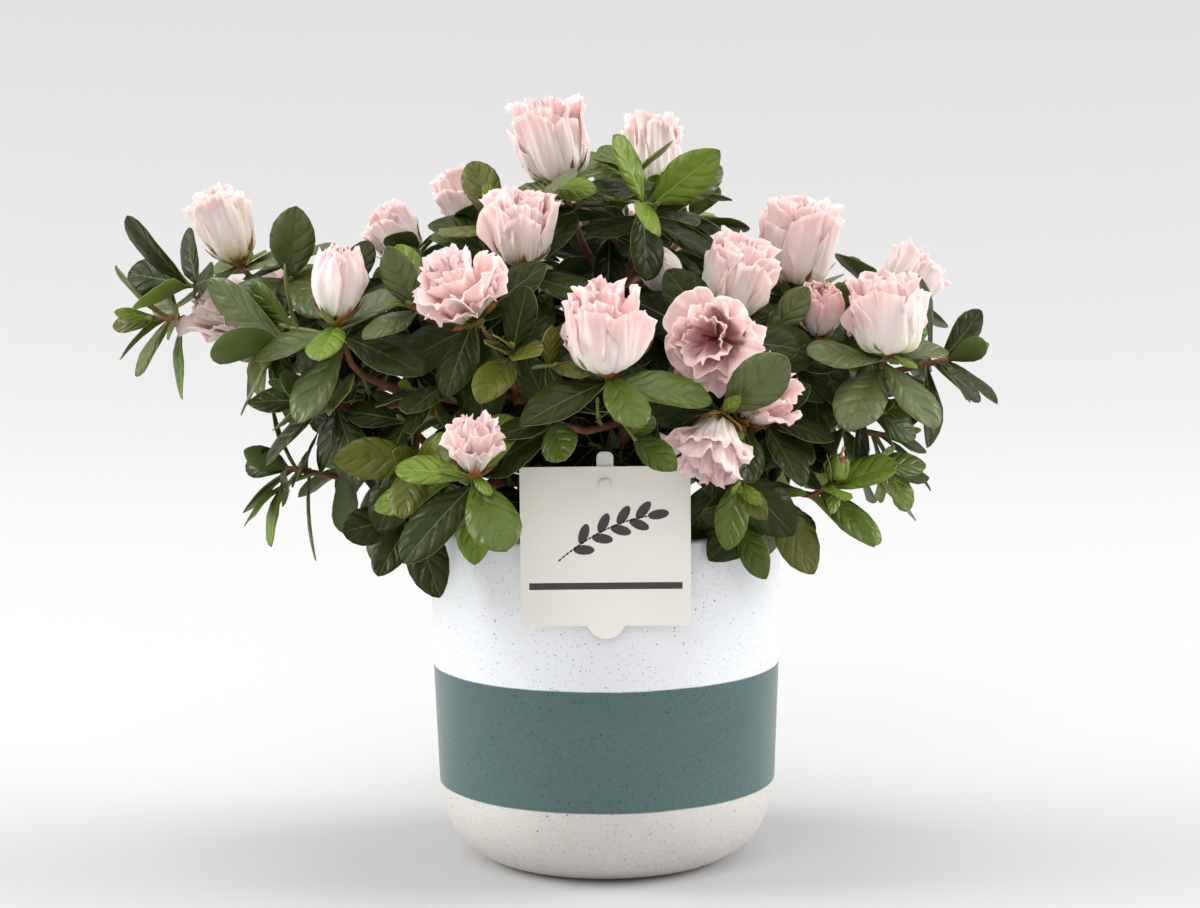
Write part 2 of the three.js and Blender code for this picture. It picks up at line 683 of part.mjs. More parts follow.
function potInside() {
  const [shoulderR, shoulderZ] = pot.shoulder;
  const flat = pot.foot - pot.corner;
  const points = [[pot.waist[0] - pot.wall, pot.waist[1]]];
  for (let i = 3; i >= 0; i--) {
    const turn = (Math.PI / 2) * (i / 3);
    points.push([flat + (shoulderR - pot.wall - flat) * Math.sin(turn),
      pot.floor + (shoulderZ + 4 - pot.floor) * (1 - Math.cos(turn))]);
  }
  points.push([0, pot.floor]);
  return points;
}

// Compost fills the pot to its level, a hair clear of the wall
function makeCompost(pickBody) {
  const inside = potInside();
  const points = [[0, compost.top], [pot.rim - pot.wall - compost.gap, compost.top]];
  for (const [r, z] of inside) points.push([Math.max(0, r - (r > 0 ? compost.gap : 0)), z + 2 * clear]);
  points.reverse();
  const profile = points.map(([r, z]) => new THREE.Vector2(r, z));
  const body = solid(new THREE.LatheGeometry(profile, compost.segments).rotateX(Math.PI / 2));
  return body.subtract(pickBody);
}

// The pick stands in the compost, leans over the rim and rises behind the card
function makePick(extra) {
  const back = card.back + clear;
  const half = pick.thick / 2 + extra;
  const behind = back + pick.thick / 2;
  const route = [[pick.foot, pick.low - extra], [pick.foot, pick.bendLow],
    [behind, pick.bendHigh], [behind, pick.top]];
  const shape = new THREE.Shape();
  route.forEach(([y, z], i) => (i ? shape.lineTo(y + half, z) : shape.moveTo(y + half, z)));
  [...route].reverse().forEach(([y, z]) => shape.lineTo(y - half, z));
  const wide = pick.wide + 2 * extra;
  const strip = new THREE.ExtrudeGeometry(shape, { depth: wide, bevelEnabled: false });
  strip.translate(0, 0, -wide / 2);
  strip.rotateY(Math.PI / 2).rotateX(Math.PI / 2);
  return solid(strip);
}

function makeCard() {
  const half = card.wide / 2;
  const dip = Math.sqrt(card.tabRadius ** 2 - (card.tabZ - card.low) ** 2);
  const turn = Math.atan2(card.low - card.tabZ, dip);
  const shape = new THREE.Shape();
  shape.moveTo(half, card.low);
  shape.lineTo(half, card.high);
  shape.lineTo(-half, card.high);
  shape.lineTo(-half, card.low);
  shape.lineTo(-dip, card.low);
  for (let i = 1; i < 12; i++) {
    const angle = Math.PI - turn + (Math.PI + 2 * turn) * (i / 12);
    shape.lineTo(card.tabRadius * Math.cos(angle), card.tabZ + card.tabRadius * Math.sin(angle));
  }
  shape.lineTo(dip, card.low);
  const hole = new THREE.Path();
  hole.absarc(0, pick.holeZ, pick.hole, 0, Math.PI * 2, true);
  shape.holes.push(hole);
  const options = { depth: card.thick, bevelEnabled: false, curveSegments: 8 };
  const geometry = new THREE.ExtrudeGeometry(shape, options);
  return solid(geometry.rotateX(Math.PI / 2).translate(0, card.back, 0));
}

function roundPin(radius, fromY, toY) {
  const geometry = new THREE.CylinderGeometry(radius, radius, fromY - toY, 12);
  return solid(geometry.translate(0, (fromY + toY) / 2, pick.holeZ));
}

piece('pot', makePot(), 0xdfe4e6, 0.5);
piece('compost', makeCompost(makePick(clear)), 0x2e221a, 0.95);
const trunkBody = solid(taper(trunkPoints, trunk.radii, trunk.sides, true));
piece('trunk', trunkBody, 0x5b4637, 0.9);

const limbKeepOut = [solid(taper(trunkPoints, trunk.radii.map((r) => r + clear), trunk.sides, true))];
for (const [name, limb] of Object.entries(limbs)) {
  let body = solid(taper(limb.points, limb.radii, bough.sides));
  for (const other of limbKeepOut) body = body.subtract(other);
  limbKeepOut.push(solid(taper(limb.points, limb.radii.map((r) => r + clear), bough.sides)));
  piece(`bough_${name}`, largest(body), 0x6d4a38, 0.85);
}

for (const [name, limb] of Object.entries(limbs)) {
  const stem = [along(limb.end, limb.heading, clear), masses[name].hub];
  const knob = new THREE.IcosahedronGeometry(knot.radius, 0).translate(...masses[name].hub);
  const bodies = [solid(taper(stem, [bough.thin, twig.thick], 6)), solid(knob)];
  for (const shoot of kept.filter((s) => s.mass === name)) {
    const points = [...shoot.points];
    points[0] = along(points[0], unit(sub(points[1], points[0])), knot.start);
    bodies.push(solid(taper(points, shoot.radii, twig.sides)));
    if (shoot.width > 0) bodies.push(solid(bloomGeometry(shoot)));
  }
  for (const blade of blades.filter((b) => b.mass === name)) bodies.push(solid(leafGeometry(blade)));
  piece(`mass_${name}`, largest(joinAll(bodies)), 0x3f5a35, 0.6);
}

piece('card', makeCard(), 0xdedbd0, 0.6);
const pinBack = card.back + clear + pick.overlap;
const pinFront = card.back - card.thick - clear;
const pin = roundPin(pick.pin, pinBack, pinFront - pick.overlap / 2);
const button = roundPin(pick.button, pinFront, pinFront - pick.buttonThick);
piece('pick', makePick(0).add(pin).add(button), 0xe8ecec, 0.15);

export default scene;
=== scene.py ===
import math

import bmesh
import bpy
import numpy as np
from mathutils import Matrix, Vector


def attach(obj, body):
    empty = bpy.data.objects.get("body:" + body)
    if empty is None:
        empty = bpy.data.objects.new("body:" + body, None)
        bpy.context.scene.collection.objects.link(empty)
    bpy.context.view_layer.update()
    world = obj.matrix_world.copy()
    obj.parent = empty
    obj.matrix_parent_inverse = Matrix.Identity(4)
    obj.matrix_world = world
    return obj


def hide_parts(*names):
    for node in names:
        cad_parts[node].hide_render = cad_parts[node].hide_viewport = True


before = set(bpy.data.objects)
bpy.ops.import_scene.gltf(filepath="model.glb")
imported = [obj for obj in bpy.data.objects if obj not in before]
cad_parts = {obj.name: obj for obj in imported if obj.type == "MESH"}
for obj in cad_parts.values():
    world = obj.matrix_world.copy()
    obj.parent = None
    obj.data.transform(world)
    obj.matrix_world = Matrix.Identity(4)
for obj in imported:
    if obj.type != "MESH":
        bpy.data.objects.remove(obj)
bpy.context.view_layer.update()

mm = 0.001
golden = math.radians(137.5)
print("frame loaded:", len(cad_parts), "nodes")

# The plant's plan in millimetres, as the solids have it: where each mass has its hub, how high on
# the trunk its bough leaves, and its chosen shoots as foot, far end, width and form. fill adds
# shoots by rule, spread round the way the mass looks, and flowers says how many of those bloom.
plan = {
    "front": dict(hub=(9, -50, 182), rise=144, fill=2, spread=50, look=(0.1, -1, 0.2), shoots=[
        ((1, -98, 205), (-1, -104, 237), 34, "goblet")]),
    "centreLeft": dict(hub=(-34, -46, 192), rise=152, fill=2, spread=50, look=(-0.4, -1, 0.2), shoots=[
        ((-50, -72, 224), (-60, -92, 233), 38, "open")]),
    "rightFront": dict(hub=(30, -34, 194), rise=156, fill=1, spread=50, look=(0.4, -0.8, 0.6), shoots=[
        ((44, -62, 214), (39, -86, 218), 38, "open"), ((28, -22, 228), (19, -28, 245), 20, "bud"),
        ((46, -40, 222), (56, -47, 250), 32, "goblet")]),
    "rightLow": dict(hub=(42, -46, 172), rise=147, fill=1, spread=50, look=(0.6, -0.9, 0), shoots=[
        ((53, -66, 184), (68, -80, 198), 30, "open"), ((43, -84, 187), (33, -99, 170), 31, "open"),
        ((50, -84, 160), (52, -100, 146), 0, "leafy")]),
    "rightShoulder": dict(hub=(62, -12, 198), rise=160, fill=2, spread=55, look=(0.6, -0.3, 0.8), shoots=[
        ((76, -2, 231), (80, -6, 264), 36, "goblet"), ((84, -26, 212), (84, -38, 231), 22, "bud")]),
    "rightTip": dict(hub=(84, -16, 186), rise=154, fill=4, spread=62, look=(1, -0.2, 0.1), shoots=[
        ((109, -45, 207), (108, -50, 237), 33, "goblet"), ((108, -20, 182), (132, -26, 168), 0, "leafy"),
        ((138, -16, 202), (158, -20, 205), 0, "leafy")]),
    "lowRight": dict(hub=(62, -38, 157), rise=141, fill=2, spread=60, look=(1, -0.5, -0.1), shoots=[
        ((88, -52, 158), (91, -58, 172), 7, "spent")]),
    "leftFront": dict(hub=(-72, -44, 190), rise=155, fill=3, spread=60, look=(-0.8, -0.8, 0.1), shoots=[
        ((-101, -64, 222), (-98, -68, 249), 25, "bud")]),
    "leftShoulder": dict(hub=(-98, 2, 202), rise=160, fill=2, spread=60, look=(-1, 0, 0.2), shoots=[
        ((-178, -8, 220), (-198, -13, 217), 0, "leafy"), ((-145, -2, 242), (-154, -4, 270), 26, "goblet"),
        ((-138, -14, 214), (-164, -26, 212), 28, "open"), ((-124, 26, 225), (-138, 34, 234), 26, "open")]),
    "leftLow": dict(hub=(-66, -22, 166), rise=148, fill=3, spread=60, look=(-1, -0.4, -0.1), shoots=[
        ((-108, -26, 188), (-132, -34, 172), 0, "leafy"), ((-80, -66, 168), (-96, -84, 158), 0, "leafy")]),
    "lowLeft": dict(hub=(-44, -56, 159), rise=138, fill=2, spread=50, look=(-0.4, -1, 0), shoots=[
        ((-48, -108, 169), (-47, -114, 190), 24, "open")]),
    "upperLeft": dict(hub=(-40, -2, 212), rise=165, fill=3, spread=60, look=(-0.5, -0.2, 0.9), shoots=[
        ((-52, 18, 256), (-60, 16, 277), 24, "goblet"), ((-31, -46, 242), (-31, -52, 269), 30, "goblet"),
        ((-78, 22, 242), (-92, 24, 260), 26, "goblet")]),
    "crownTop": dict(hub=(4, 4, 226), rise=169, fill=3, spread=55, look=(0.1, 0, 1), shoots=[
        ((-16, -12, 273), (-23, -16, 304), 33, "goblet"), ((20, 28, 268), (20, 32, 298), 30, "goblet"),
        ((37, 46, 257), (49, 50, 272), 0, "leafy")]),
    "backRight": dict(hub=(62, 54, 190), rise=158, fill=8, flowers=4, spread=66, look=(0.7, 1, 0.4), shoots=[
        ((122, 40, 222), (134, 46, 238), 27, "goblet")]),
    "backLeft": dict(hub=(-74, 60, 192), rise=158, fill=8, flowers=4, spread=66, look=(-0.9, 1, 0.3),
                     shoots=[]),
    "backTop": dict(hub=(-8, 56, 212), rise=164, fill=7, flowers=4, spread=62, look=(0, 1, 0.8), shoots=[]),
    "backLow": dict(hub=(0, 72, 168), rise=146, fill=7, flowers=3, spread=66, look=(0, 1, -0.1), shoots=[]),
}
ruleForms = ("goblet", "open", "goblet", "bud")

potSize = dict(height=136.6, rim=70.7, waist=(69.9, 79.9), shoulder=(68.1, 32), foot=41, wall=5.4,
               lip=1.5, throat=12, floor=9)
compostSize = dict(top=120, gap=1.2)
trunkSize = dict(foot=(3, -2, 120.3), bend=(6, 1, 142), top=(-3, 5, 172),
                 radii=(11.5, 8.6, 7.4, 6.8, 6.2, 5.6, 4.8), ribs=5, ribDepth=0.14)
boughSize = dict(thick=3.3, thin=2.2, steps=3, leadIn=13, elbow=(0.5, 0.5, 0.28))
twigSize = dict(thick=1.8, thin=1.25, steps=2, knot=3.4)
leafSize = dict(long=39, width=0.5, droop=0.11, fold=0.09, ownShare=0.3, gap=1.8, ownGap=1.2, rodGap=0.9,
                sag=0.1, outward=0.8, underBloom=(74, 104), onShoot=(26, 98), bloomCount=7, shootCount=8,
                fewest=3)
crownSize = dict(core=(-6, 2, 166), left=158, right=138, front=112, back=128, up=122, down=44,
                 split=16, deepFront=90, deepBack=-30)
cardSize = dict(wide=64.4, low=106.2, high=167, back=-72.2, thick=0.6, tabRadius=7.6, tabZ=108.8)
pickSize = dict(wide=6.4, thick=1.3, foot=-60.5, top=172.5)
spare = dict(twig=2.5, twigs=0.8, twigBloom=1.12, blooms=0.86, bloomTwig=1.15, leaf=1.2, leafBloom=1.04,
             bloomReach=25)
ruled = dict(nearest=22, farthest=100, step=3, reach=0.74, reachMore=0.14, rise=0.45, leafy=20,
             openLong=24, otherLong=29, budWide=22, otherWide=31, more=5)
seeds = dict(shoots=300, leaves=5600, finer=7100, young=7600, boughTwigs=8000, looks=40, leafLooks=4040,
             crumbs=9040, blooms=900)
clear = 0.3
bloomMiddle = 0.58


def vec(values):
    return np.array(values, float)


def lengthOf(a):
    return math.sqrt(float(a @ a))


def unit(a):
    return a / lengthOf(a)


def dots(a, b):
    return (a * b).sum(-1)


def sequence(seed):  # the same even spread of numbers from 0 to 1 for the same seed
    state = (seed * 7919 + 101) % 2147483647
    while True:
        state = state * 48271 % 2147483647
        yield state / 2147483647


def sides(axis):  # two directions square to an axis and to each other
    helper = vec((0, 0, 1)) if abs(axis[2]) < 0.9 else vec((1, 0, 0))
    first = unit(np.cross(helper, axis))
    return first, np.cross(axis, first)


def turned(first, second, turn):
    return first * math.cos(turn) + second * math.sin(turn)


def curvePoint(a, b, c, t):
    return a * (1 - t) ** 2 + b * (2 * t * (1 - t)) + c * t * t


def curvePoints(a, b, c, steps):
    return [curvePoint(a, b, c, i / steps) for i in range(steps + 1)]


def stretchGaps(p, q, a, b):  # shortest distances between stretches p to q and a to b, many at once
    d1, d2, r = q - p, b - a, p - a
    a1, e, f, c, m = dots(d1, d1), dots(d2, d2), dots(d2, r), dots(d1, r), dots(d1, d2)
    span = a1 * e - m * m
    s = np.where(span > 1e-9, np.clip((m * f - c * e) / np.where(span > 1e-9, span, 1), 0, 1), 0)
    t = (m * s + f) / e
    s = np.where((t < 0) | (t > 1), np.clip((m * np.clip(t, 0, 1) - c) / a1, 0, 1), s)
    away = p + d1 * s[..., None] - a - d2 * np.clip(t, 0, 1)[..., None]
    return np.sqrt(dots(away, away))


# What is already grown: rods for wood, bells for blooms and blades for leaves
rods = []
bells = []
blades = []
stacks = {}


def runSamples(points):  # a run's stretches cut into short steps, and which samples begin a stretch
    samples, starts = [], []
    for p, q in zip(points[:-1], points[1:]):
        steps = max(1, math.ceil(lengthOf(q - p) / 2.5))
        samples += [p + (q - p) * (i / steps) for i in range(steps + 1)]
        starts += [True] + [False] * steps
    return np.array(samples), np.array(starts)


def addRods(points, radii, owner, shoot=-1):
    for i in range(len(points) - 1):
        rods.append(dict(a=points[i], b=points[i + 1], r=max(radii[i], radii[i + 1]), owner=owner,
                         shoot=shoot, samples=runSamples(points[i:i + 2])))
    stacks.pop("rods", None)


def stacked(kind, rows, keys):  # the rows' values as arrays, made again only when a row was added
    if kind not in stacks:
        stacks[kind] = {key: np.array([row[key] for row in rows]) for key in keys}
    return stacks[kind]


def nearPot(p, room):
    out = np.hypot(p[:, 0], p[:, 1])
    inWall = (out > potSize["rim"] - potSize["wall"] - room) & (out < potSize["rim"] + room)
    inSoil = (out < potSize["rim"]) & (p[:, 2] < compostSize["top"] + room)
    return (inWall & (p[:, 2] < potSize["height"] + room)) | inSoil


def nearCard(p, room):
    x, y, z = np.abs(p[:, 0]), p[:, 1], p[:, 2]
    front = cardSize["back"] - cardSize["thick"] - room
    onCard = (y > front) & (y < cardSize["back"] + room) & (x < cardSize["wide"] / 2 + room)
    onPick = (y > front - 1) & (y < pickSize["foot"] + 1 + room) & (x < pickSize["wide"] / 2 + room)
    byCard = onCard & (z > cardSize["low"] - 6) & (z < cardSize["high"] + room)
    return byCard | (onPick & (z < pickSize["top"] + room))


def hidesCard(p):  # the space before the card's face, which the foliage leaves open
    across = np.abs(p[:, 0]) < cardSize["wide"] / 2 - 4
    level = (p[:, 2] < cardSize["high"] + 1) & (p[:, 2] > cardSize["low"])
    return (p[:, 1] < cardSize["back"]) & across & level


def bellShares(bell, p):  # how far points are from a bloom's middle, where 1 is on its outside
    d = p - bell["middle"]
    h = d @ bell["axis"]
    out = np.sqrt(np.maximum(0, dots(d, d) - h * h))
    return np.hypot(h / bell["half"], out / bell["radius"])


def twigPath(start, collar, axis):
    bend = collar - axis * (0.5 * lengthOf(collar - start))
    return curvePoints(start, bend, collar, twigSize["steps"])


def twigRadii():
    slim = (twigSize["thin"] - twigSize["thick"]) / twigSize["steps"]
    return [twigSize["thick"] + slim * i for i in range(twigSize["steps"] + 1)]


def twigFree(points, radii, mass):
    strange = [rod for rod in rods if rod["owner"] != mass]
    a, b = (np.array([rod[key] for rod in strange]) for key in "ab")
    r = np.array([rod["r"] for rod in strange])
    for i in range(len(points) - 1):
        p = points[i] + (points[i + 1] - points[i]) * (np.arange(5) / 4)[:, None]
        if nearPot(p, spare["twig"]).any() or nearCard(p, spare["twig"]).any():
            return False
        if any((bellShares(bell, p) < spare["twigBloom"]).any() for bell in bells):
            return False
        if (stretchGaps(points[i], points[i + 1], a, b) < r + radii[i] + spare["twigs"]).any():
            return False
    return True


def bellOf(foot, far, width):
    length = lengthOf(far - foot)
    axis = unit(far - foot)
    return dict(middle=foot + axis * (length * bloomMiddle), axis=axis, half=length * 0.5, radius=width / 2)


def bellFree(bell, mass):
    for other in bells:
        reach = max(other["radius"], other["half"]) + max(bell["radius"], bell["half"])
        if lengthOf(other["middle"] - bell["middle"]) < spare["blooms"] * reach:
            return False
    for rod in rods:
        spots = rod["a"] + (rod["b"] - rod["a"]) * np.array((0, 0.33, 0.67, 1))[:, None]
        if rod["owner"] != mass and (bellShares(bell, spots) < spare["bloomTwig"]).any():
            return False
    return True


def reachShare(p):  # where a way out from the core meets the crown's outline, as a share of the reach
    d = p - vec(crownSize["core"])
    x = d[0] / crownSize["left" if d[0] < 0 else "right"]
    y = d[1] / crownSize["front" if d[1] < 0 else "back"]
    z = d[2] / crownSize["down" if d[2] < 0 else "up"]
    return math.sqrt(x * x + y * y + z * z)


def growLimbs():
    foot, bend, top = (vec(trunkSize[key]) for key in ("foot", "bend", "top"))
    trunkPoints = curvePoints(foot, bend, top, len(trunkSize["radii"]) - 1)
    addRods(trunkPoints, trunkSize["radii"], "trunk")
    limbs = {}
    for name, mass in plan.items():
        share = (mass["rise"] - foot[2]) / (top[2] - foot[2])
        start = curvePoint(foot, bend, top, share)
        out = vec(mass["hub"]) - start
        elbow = start + out * vec(boughSize["elbow"])
        heading = unit(vec(mass["hub"]) - elbow)
        end = vec(mass["hub"]) - heading * boughSize["leadIn"]
        points = curvePoints(start, elbow, end, boughSize["steps"])
        slim = (boughSize["thin"] - boughSize["thick"]) / boughSize["steps"]
        radii = [boughSize["thick"] + slim * i for i in range(len(points))]
        limbs[name] = dict(start=start, elbow=elbow, end=end, heading=heading, points=points, radii=radii)
        addRods(points, radii, name)
    return trunkPoints, limbs


def ruleShoot(mass, k, index):
    draw = sequence(seeds["shoots"] + index).__next__
    look = unit(vec(mass["look"]))
    first, second = sides(look)
    tilt = math.radians(mass["spread"]) * math.sqrt((k + 0.6) / mass["fill"])
    turn = k * golden + 0.8
    heading = unit(look * math.cos(tilt) + turned(first, second, turn) * math.sin(tilt))
    stop = ruled["reach"] + ruled["reachMore"] * draw()
    collar = vec(mass["hub"]) + heading * ruled["nearest"]
    far = ruled["nearest"]
    while far < ruled["farthest"] and reachShare(collar) < stop:
        collar = vec(mass["hub"]) + heading * far
        far += ruled["step"]
    axis = unit(heading + vec((0, 0, ruled["rise"])))
    if k >= mass.get("flowers", 0):
        return collar, collar + axis * ruled["leafy"], 0, "leafy"
    form = ruleForms[(k + index) % len(ruleForms)]
    length = ruled["openLong" if form == "open" else "otherLong"] + ruled["more"] * draw()
    width = ruled["budWide" if form == "bud" else "otherWide"] + ruled["more"] * draw()
    return collar, collar + axis * length, width, form


def outwardAt(p):  # which way is out of the crown, for a whorl there
    core = crownSize["core"]
    deep = crownSize["deepFront"] if p[1] < crownSize["split"] else crownSize["deepBack"]
    return unit(p - vec((core[0], deep, core[2] - 12)))


def growShoots(limbs):
    shoots = []
    index = 0
    for name, mass in plan.items():
        chosen = [(vec(foot), vec(far), width, form) for foot, far, width, form in mass["shoots"]]
        added = [ruleShoot(mass, k, index + k) for k in range(mass["fill"])]
        for order, (foot, far, width, form) in enumerate(chosen + added):
            axis = unit(far - foot)
            points, radii = twigPath(vec(mass["hub"]), foot, axis), twigRadii()
            bell = bellOf(foot, far, width) if width > 0 else None
            free = twigFree(points, radii, name) and (not bell or bellFree(bell, name))
            if order < len(chosen) or free:
                whorl = unit(axis + outwardAt(foot) * leafSize["outward"])
                shoots.append(dict(foot=foot, far=far, width=width, form=form, mass=name, index=index,
                                   axis=axis, whorl=whorl, points=points, radii=radii, leaves=[]))
                addRods(points, radii, name, index)
                if bell:
                    bells.append(dict(bell, owner=index))
            index += 1
        stem = [limbs[name]["end"] + limbs[name]["heading"] * clear, vec(mass["hub"])]
        addRods(stem, (boughSize["thin"], twigSize["knot"]), name)
    return shoots


runShares = (0, 0.15, 0.3, 0.45, 0.6, 0.75, 0.9, 1)


def halfWidth(width, share):
    flat = np.sin(np.pi * np.clip(share, 0, 1) ** 0.86)
    return width * 0.5 * np.maximum(flat, 0) ** 0.75


def bladePoints(blade, u, v, lift=0.0):  # points on a leaf's sheet, which droops along and folds up across
    w = leafSize["fold"] * np.abs(v) - blade["droop"] * u * u / blade["length"] + lift
    return (blade["foot"] + blade["out"] * np.asarray(u)[..., None] + blade["side"] * np.asarray(v)[..., None]
            + blade["up"] * np.asarray(w)[..., None])


def bladeRuns(blade):
    u = vec(runShares) * blade["length"]
    half = halfWidth(blade["width"], vec(runShares))
    return [bladePoints(blade, u, sign * half) for sign in (1, -1, 0)]


# Do runs of samples pass through blades, or come within room of them?
def pierced(foot, out, side, up, length, width, samples, starts, room, fromShare):
    d = samples - foot[:, None]
    u, v = dots(d, out[:, None]), dots(d, side[:, None])
    h = dots(d, up[:, None]) - leafSize["fold"] * np.abs(v) + leafSize["droop"] * u * u / length[:, None]
    share = u / length[:, None]
    inside = (share > fromShare) & (share < 1.03) & (np.abs(v) < halfWidth(width[:, None], share) + 0.7)
    if (inside & (np.abs(h) < room)).any():
        return True
    across = (inside[:, 1:] | inside[:, :-1]) & (h[:, 1:] * h[:, :-1] < 0) & ~starts[1:]
    return bool(across.any())


bladeKeys = ("foot", "out", "side", "up", "length", "width")


def bladePierced(blade, samples, starts, room, fromShare):
    return pierced(*(np.array([blade[key]]) for key in bladeKeys), samples, starts, room, fromShare)


def rodsFree(blade):
    stack = stacked("rods", rods, ("a", "b", "r", "shoot"))
    middle = (stack["a"] + stack["b"]) / 2 - blade["centre"]
    span = stack["b"] - stack["a"]
    far = np.sqrt(dots(middle, middle)) > blade["length"] * 0.62 + np.sqrt(dots(span, span)) / 2 + 3
    close = np.flatnonzero(~far & (stack["shoot"] != blade["shoot"]))
    for i in close:
        samples, starts = rods[i]["samples"]
        if bladePierced(blade, samples, starts, rods[i]["r"] + leafSize["rodGap"], 0.14):
            return False
    if len(close):
        p = np.concatenate([run[1:-1] for run in blade["runs"]])[:, None]
        q = np.concatenate([run[2:] for run in blade["runs"]])[:, None]
        gaps = stretchGaps(p, q, stack["a"][close][None], stack["b"][close][None])
        return not (gaps < stack["r"][close] + leafSize["rodGap"]).any()
    return True


def leavesFree(blade):
    if not blades:
        return True
    stack = stacked("blades", blades, bladeKeys + ("shoot", "centre"))
    away = stack["centre"] - blade["centre"]
    near = np.sqrt(dots(away, away)) <= (stack["length"] + blade["length"]) * 0.55
    own = stack["shoot"] == blade["shoot"]
    for picked, room, share, skip in ((near & own, leafSize["ownGap"], leafSize["ownShare"], 1),
                                      (near & ~own, leafSize["gap"], 0.02, 0)):
        indices = np.flatnonzero(picked)
        if not len(indices):
            continue
        samples, starts = blade["samples"][skip]
        others = (stack[key][indices] for key in bladeKeys)
        if pierced(*others, samples, starts, room, share):
            return False
        samples = np.concatenate([blades[i]["samples"][skip][0] for i in indices])
        starts = np.concatenate([blades[i]["samples"][skip][1] for i in indices])
        if bladePierced(blade, samples, starts, room, share):
            return False
    return True


def bladeFree(blade):
    tips = np.concatenate([run[2:] for run in blade["runs"]])
    room = spare["leaf"]
    if nearPot(tips, room).any() or nearCard(tips, room).any() or hidesCard(tips).any():
        return False
    for bell in bells:
        if lengthOf(bell["middle"] - blade["centre"]) > spare["bloomReach"] + blade["length"] / 2:
            continue
        begin = 3 if bell["owner"] == blade["shoot"] else 1
        spots = np.concatenate([run[begin:] for run in blade["runs"]])
        if (bellShares(bell, spots) < spare["leafBloom"]).any():
            return False
    return rodsFree(blade) and leavesFree(blade)


def joinRuns(runs):
    parts = [runSamples(run) for run in runs]
    return np.concatenate([part[0] for part in parts]), np.concatenate([part[1] for part in parts])


def bladeAt(shoot, back, turn, opened, length, slender=leafSize["width"]):
    last, before = shoot["points"][-1], shoot["points"][-2]
    sideways = turned(*sides(shoot["whorl"]), turn)
    level = shoot["whorl"] * math.cos(opened) + sideways * math.sin(opened)
    out = unit(level - vec((0, 0, leafSize["sag"])))
    wish = shoot["whorl"] + vec((0, 0, 0.25))
    up = unit(wish - out * float(wish @ out))
    blade = dict(foot=last - unit(last - before) * back, out=out, up=up, side=np.cross(up, out),
                 length=length, width=length * slender, droop=leafSize["droop"], shoot=shoot["index"],
                 mass=shoot["mass"])
    blade["centre"] = bladePoints(blade, length / 2, 0)
    blade["runs"] = bladeRuns(blade)
    blade["samples"] = [joinRuns([run[skip:] for run in blade["runs"]]) for skip in (0, 1)]
    return blade


def tryBlade(shoot, age, shifts, back, turn, *form):  # keep the first of some turns that has room
    for shift in shifts:
        blade = bladeAt(shoot, back, turn + shift, *form)
        if bladeFree(blade):
            blade["age"] = age
            blades.append(blade)
            shoot["leaves"].append(blade)
            stacks.pop("blades", None)
            return


def forgetLeaves(shoot):
    del blades[len(blades) - len(shoot["leaves"]):]
    stacks.pop("blades", None)


def growLeaves(shoot):  # a whorl under the bloom, each leaf a golden turn on and further open
    draw = sequence(seeds["leaves"] + shoot["index"]).__next__
    flowering = shoot["width"] > 12
    low, high = leafSize["underBloom" if flowering else "onShoot"]
    count = leafSize["bloomCount" if flowering else "shootCount"]
    start = draw() * math.tau
    for j in range(count):
        age = j / (count - 1)
        wander = (draw() - 0.5) * 0.3
        opened = math.radians(low + (high - low) * age) + (draw() - 0.5) * 0.2
        grown = 0.84 + 0.16 * math.sin(math.pi * age) if flowering else 0.5 + 0.5 * math.sqrt(age)
        length = leafSize["long"] * grown * (0.84 + 0.2 * draw())
        turn = start + j * golden + wander
        tryBlade(shoot, age, (0, 0.3, -0.3, 0.6, -0.6), 1.5 + 1.5 * j, turn, opened, length)
    if not flowering and len(shoot["leaves"]) < leafSize["fewest"]:
        forgetLeaves(shoot)
        return False
    return True


trunkPoints, limbs = growLimbs()
shoots = [shoot for shoot in growShoots(limbs) if growLeaves(shoot)]
print("grown by the solids' rule:", len(shoots), "shoots and", len(blades), "leaves")

# Finer growth in the same reach: side twigs with smaller leaves off every twig and bough, young
# leaves close under the blooms and at the tips, and a few more whorls, each by its shoot and tip
twigGrowth = dict(count=3, first=0.3, step=0.24, tilt=(38, 64), long=(12, 26))
boughGrowth = dict(count=4, first=0.4, step=0.16, tilt=(45, 75), long=(12, 24))
sideTwig = dict(radii=(1.1, 0.925, 0.75), upward=0.2, bend=0.5, reach=1.0, fewest=2, firstIndex=1000)
smallLeaves = dict(count=6, long=(0.42, 0.76), slender=0.47, opened=(30, 96), stray=0.3, back=(0.8, 1.2),
                   shifts=(0, 0.4, -0.4, 0.8, -0.8))
youngGrowth = dict(underBloom=(4, 11, 18, 60, 80), onShoot=(4, 9, 17, 12, 40), slender=0.36, back=0.4)
whorlGrowth = dict(foot=0.75, bend=0.35, long=(0.74, 1.0), firstIndex=2000,
                   places=((33, (-166, -12, 233)), (28, (-124, -52, 214)), (52, (20, -32, 264)),
                           (33, (-122, -24, 236))))


def onPath(points, share):
    spot = min(share, 0.999) * (len(points) - 1)
    i = int(spot)
    return points[i] + (points[i + 1] - points[i]) * (spot - i)


def between(span, draw):
    return span[0] + (span[1] - span[0]) * draw()


def sideTwigAt(foot, bend, tip, mass, index):
    points = curvePoints(foot, bend, tip, 2)
    whorl = unit(unit(points[2] - points[1]) + outwardAt(tip) * leafSize["outward"])
    return dict(points=points, radii=sideTwig["radii"], mass=mass, index=index, whorl=whorl, leaves=[],
                width=0)


def keepTwig(twig):
    addRods(twig["points"], twig["radii"], twig["mass"], twig["index"])
    finerShoots.append(twig)


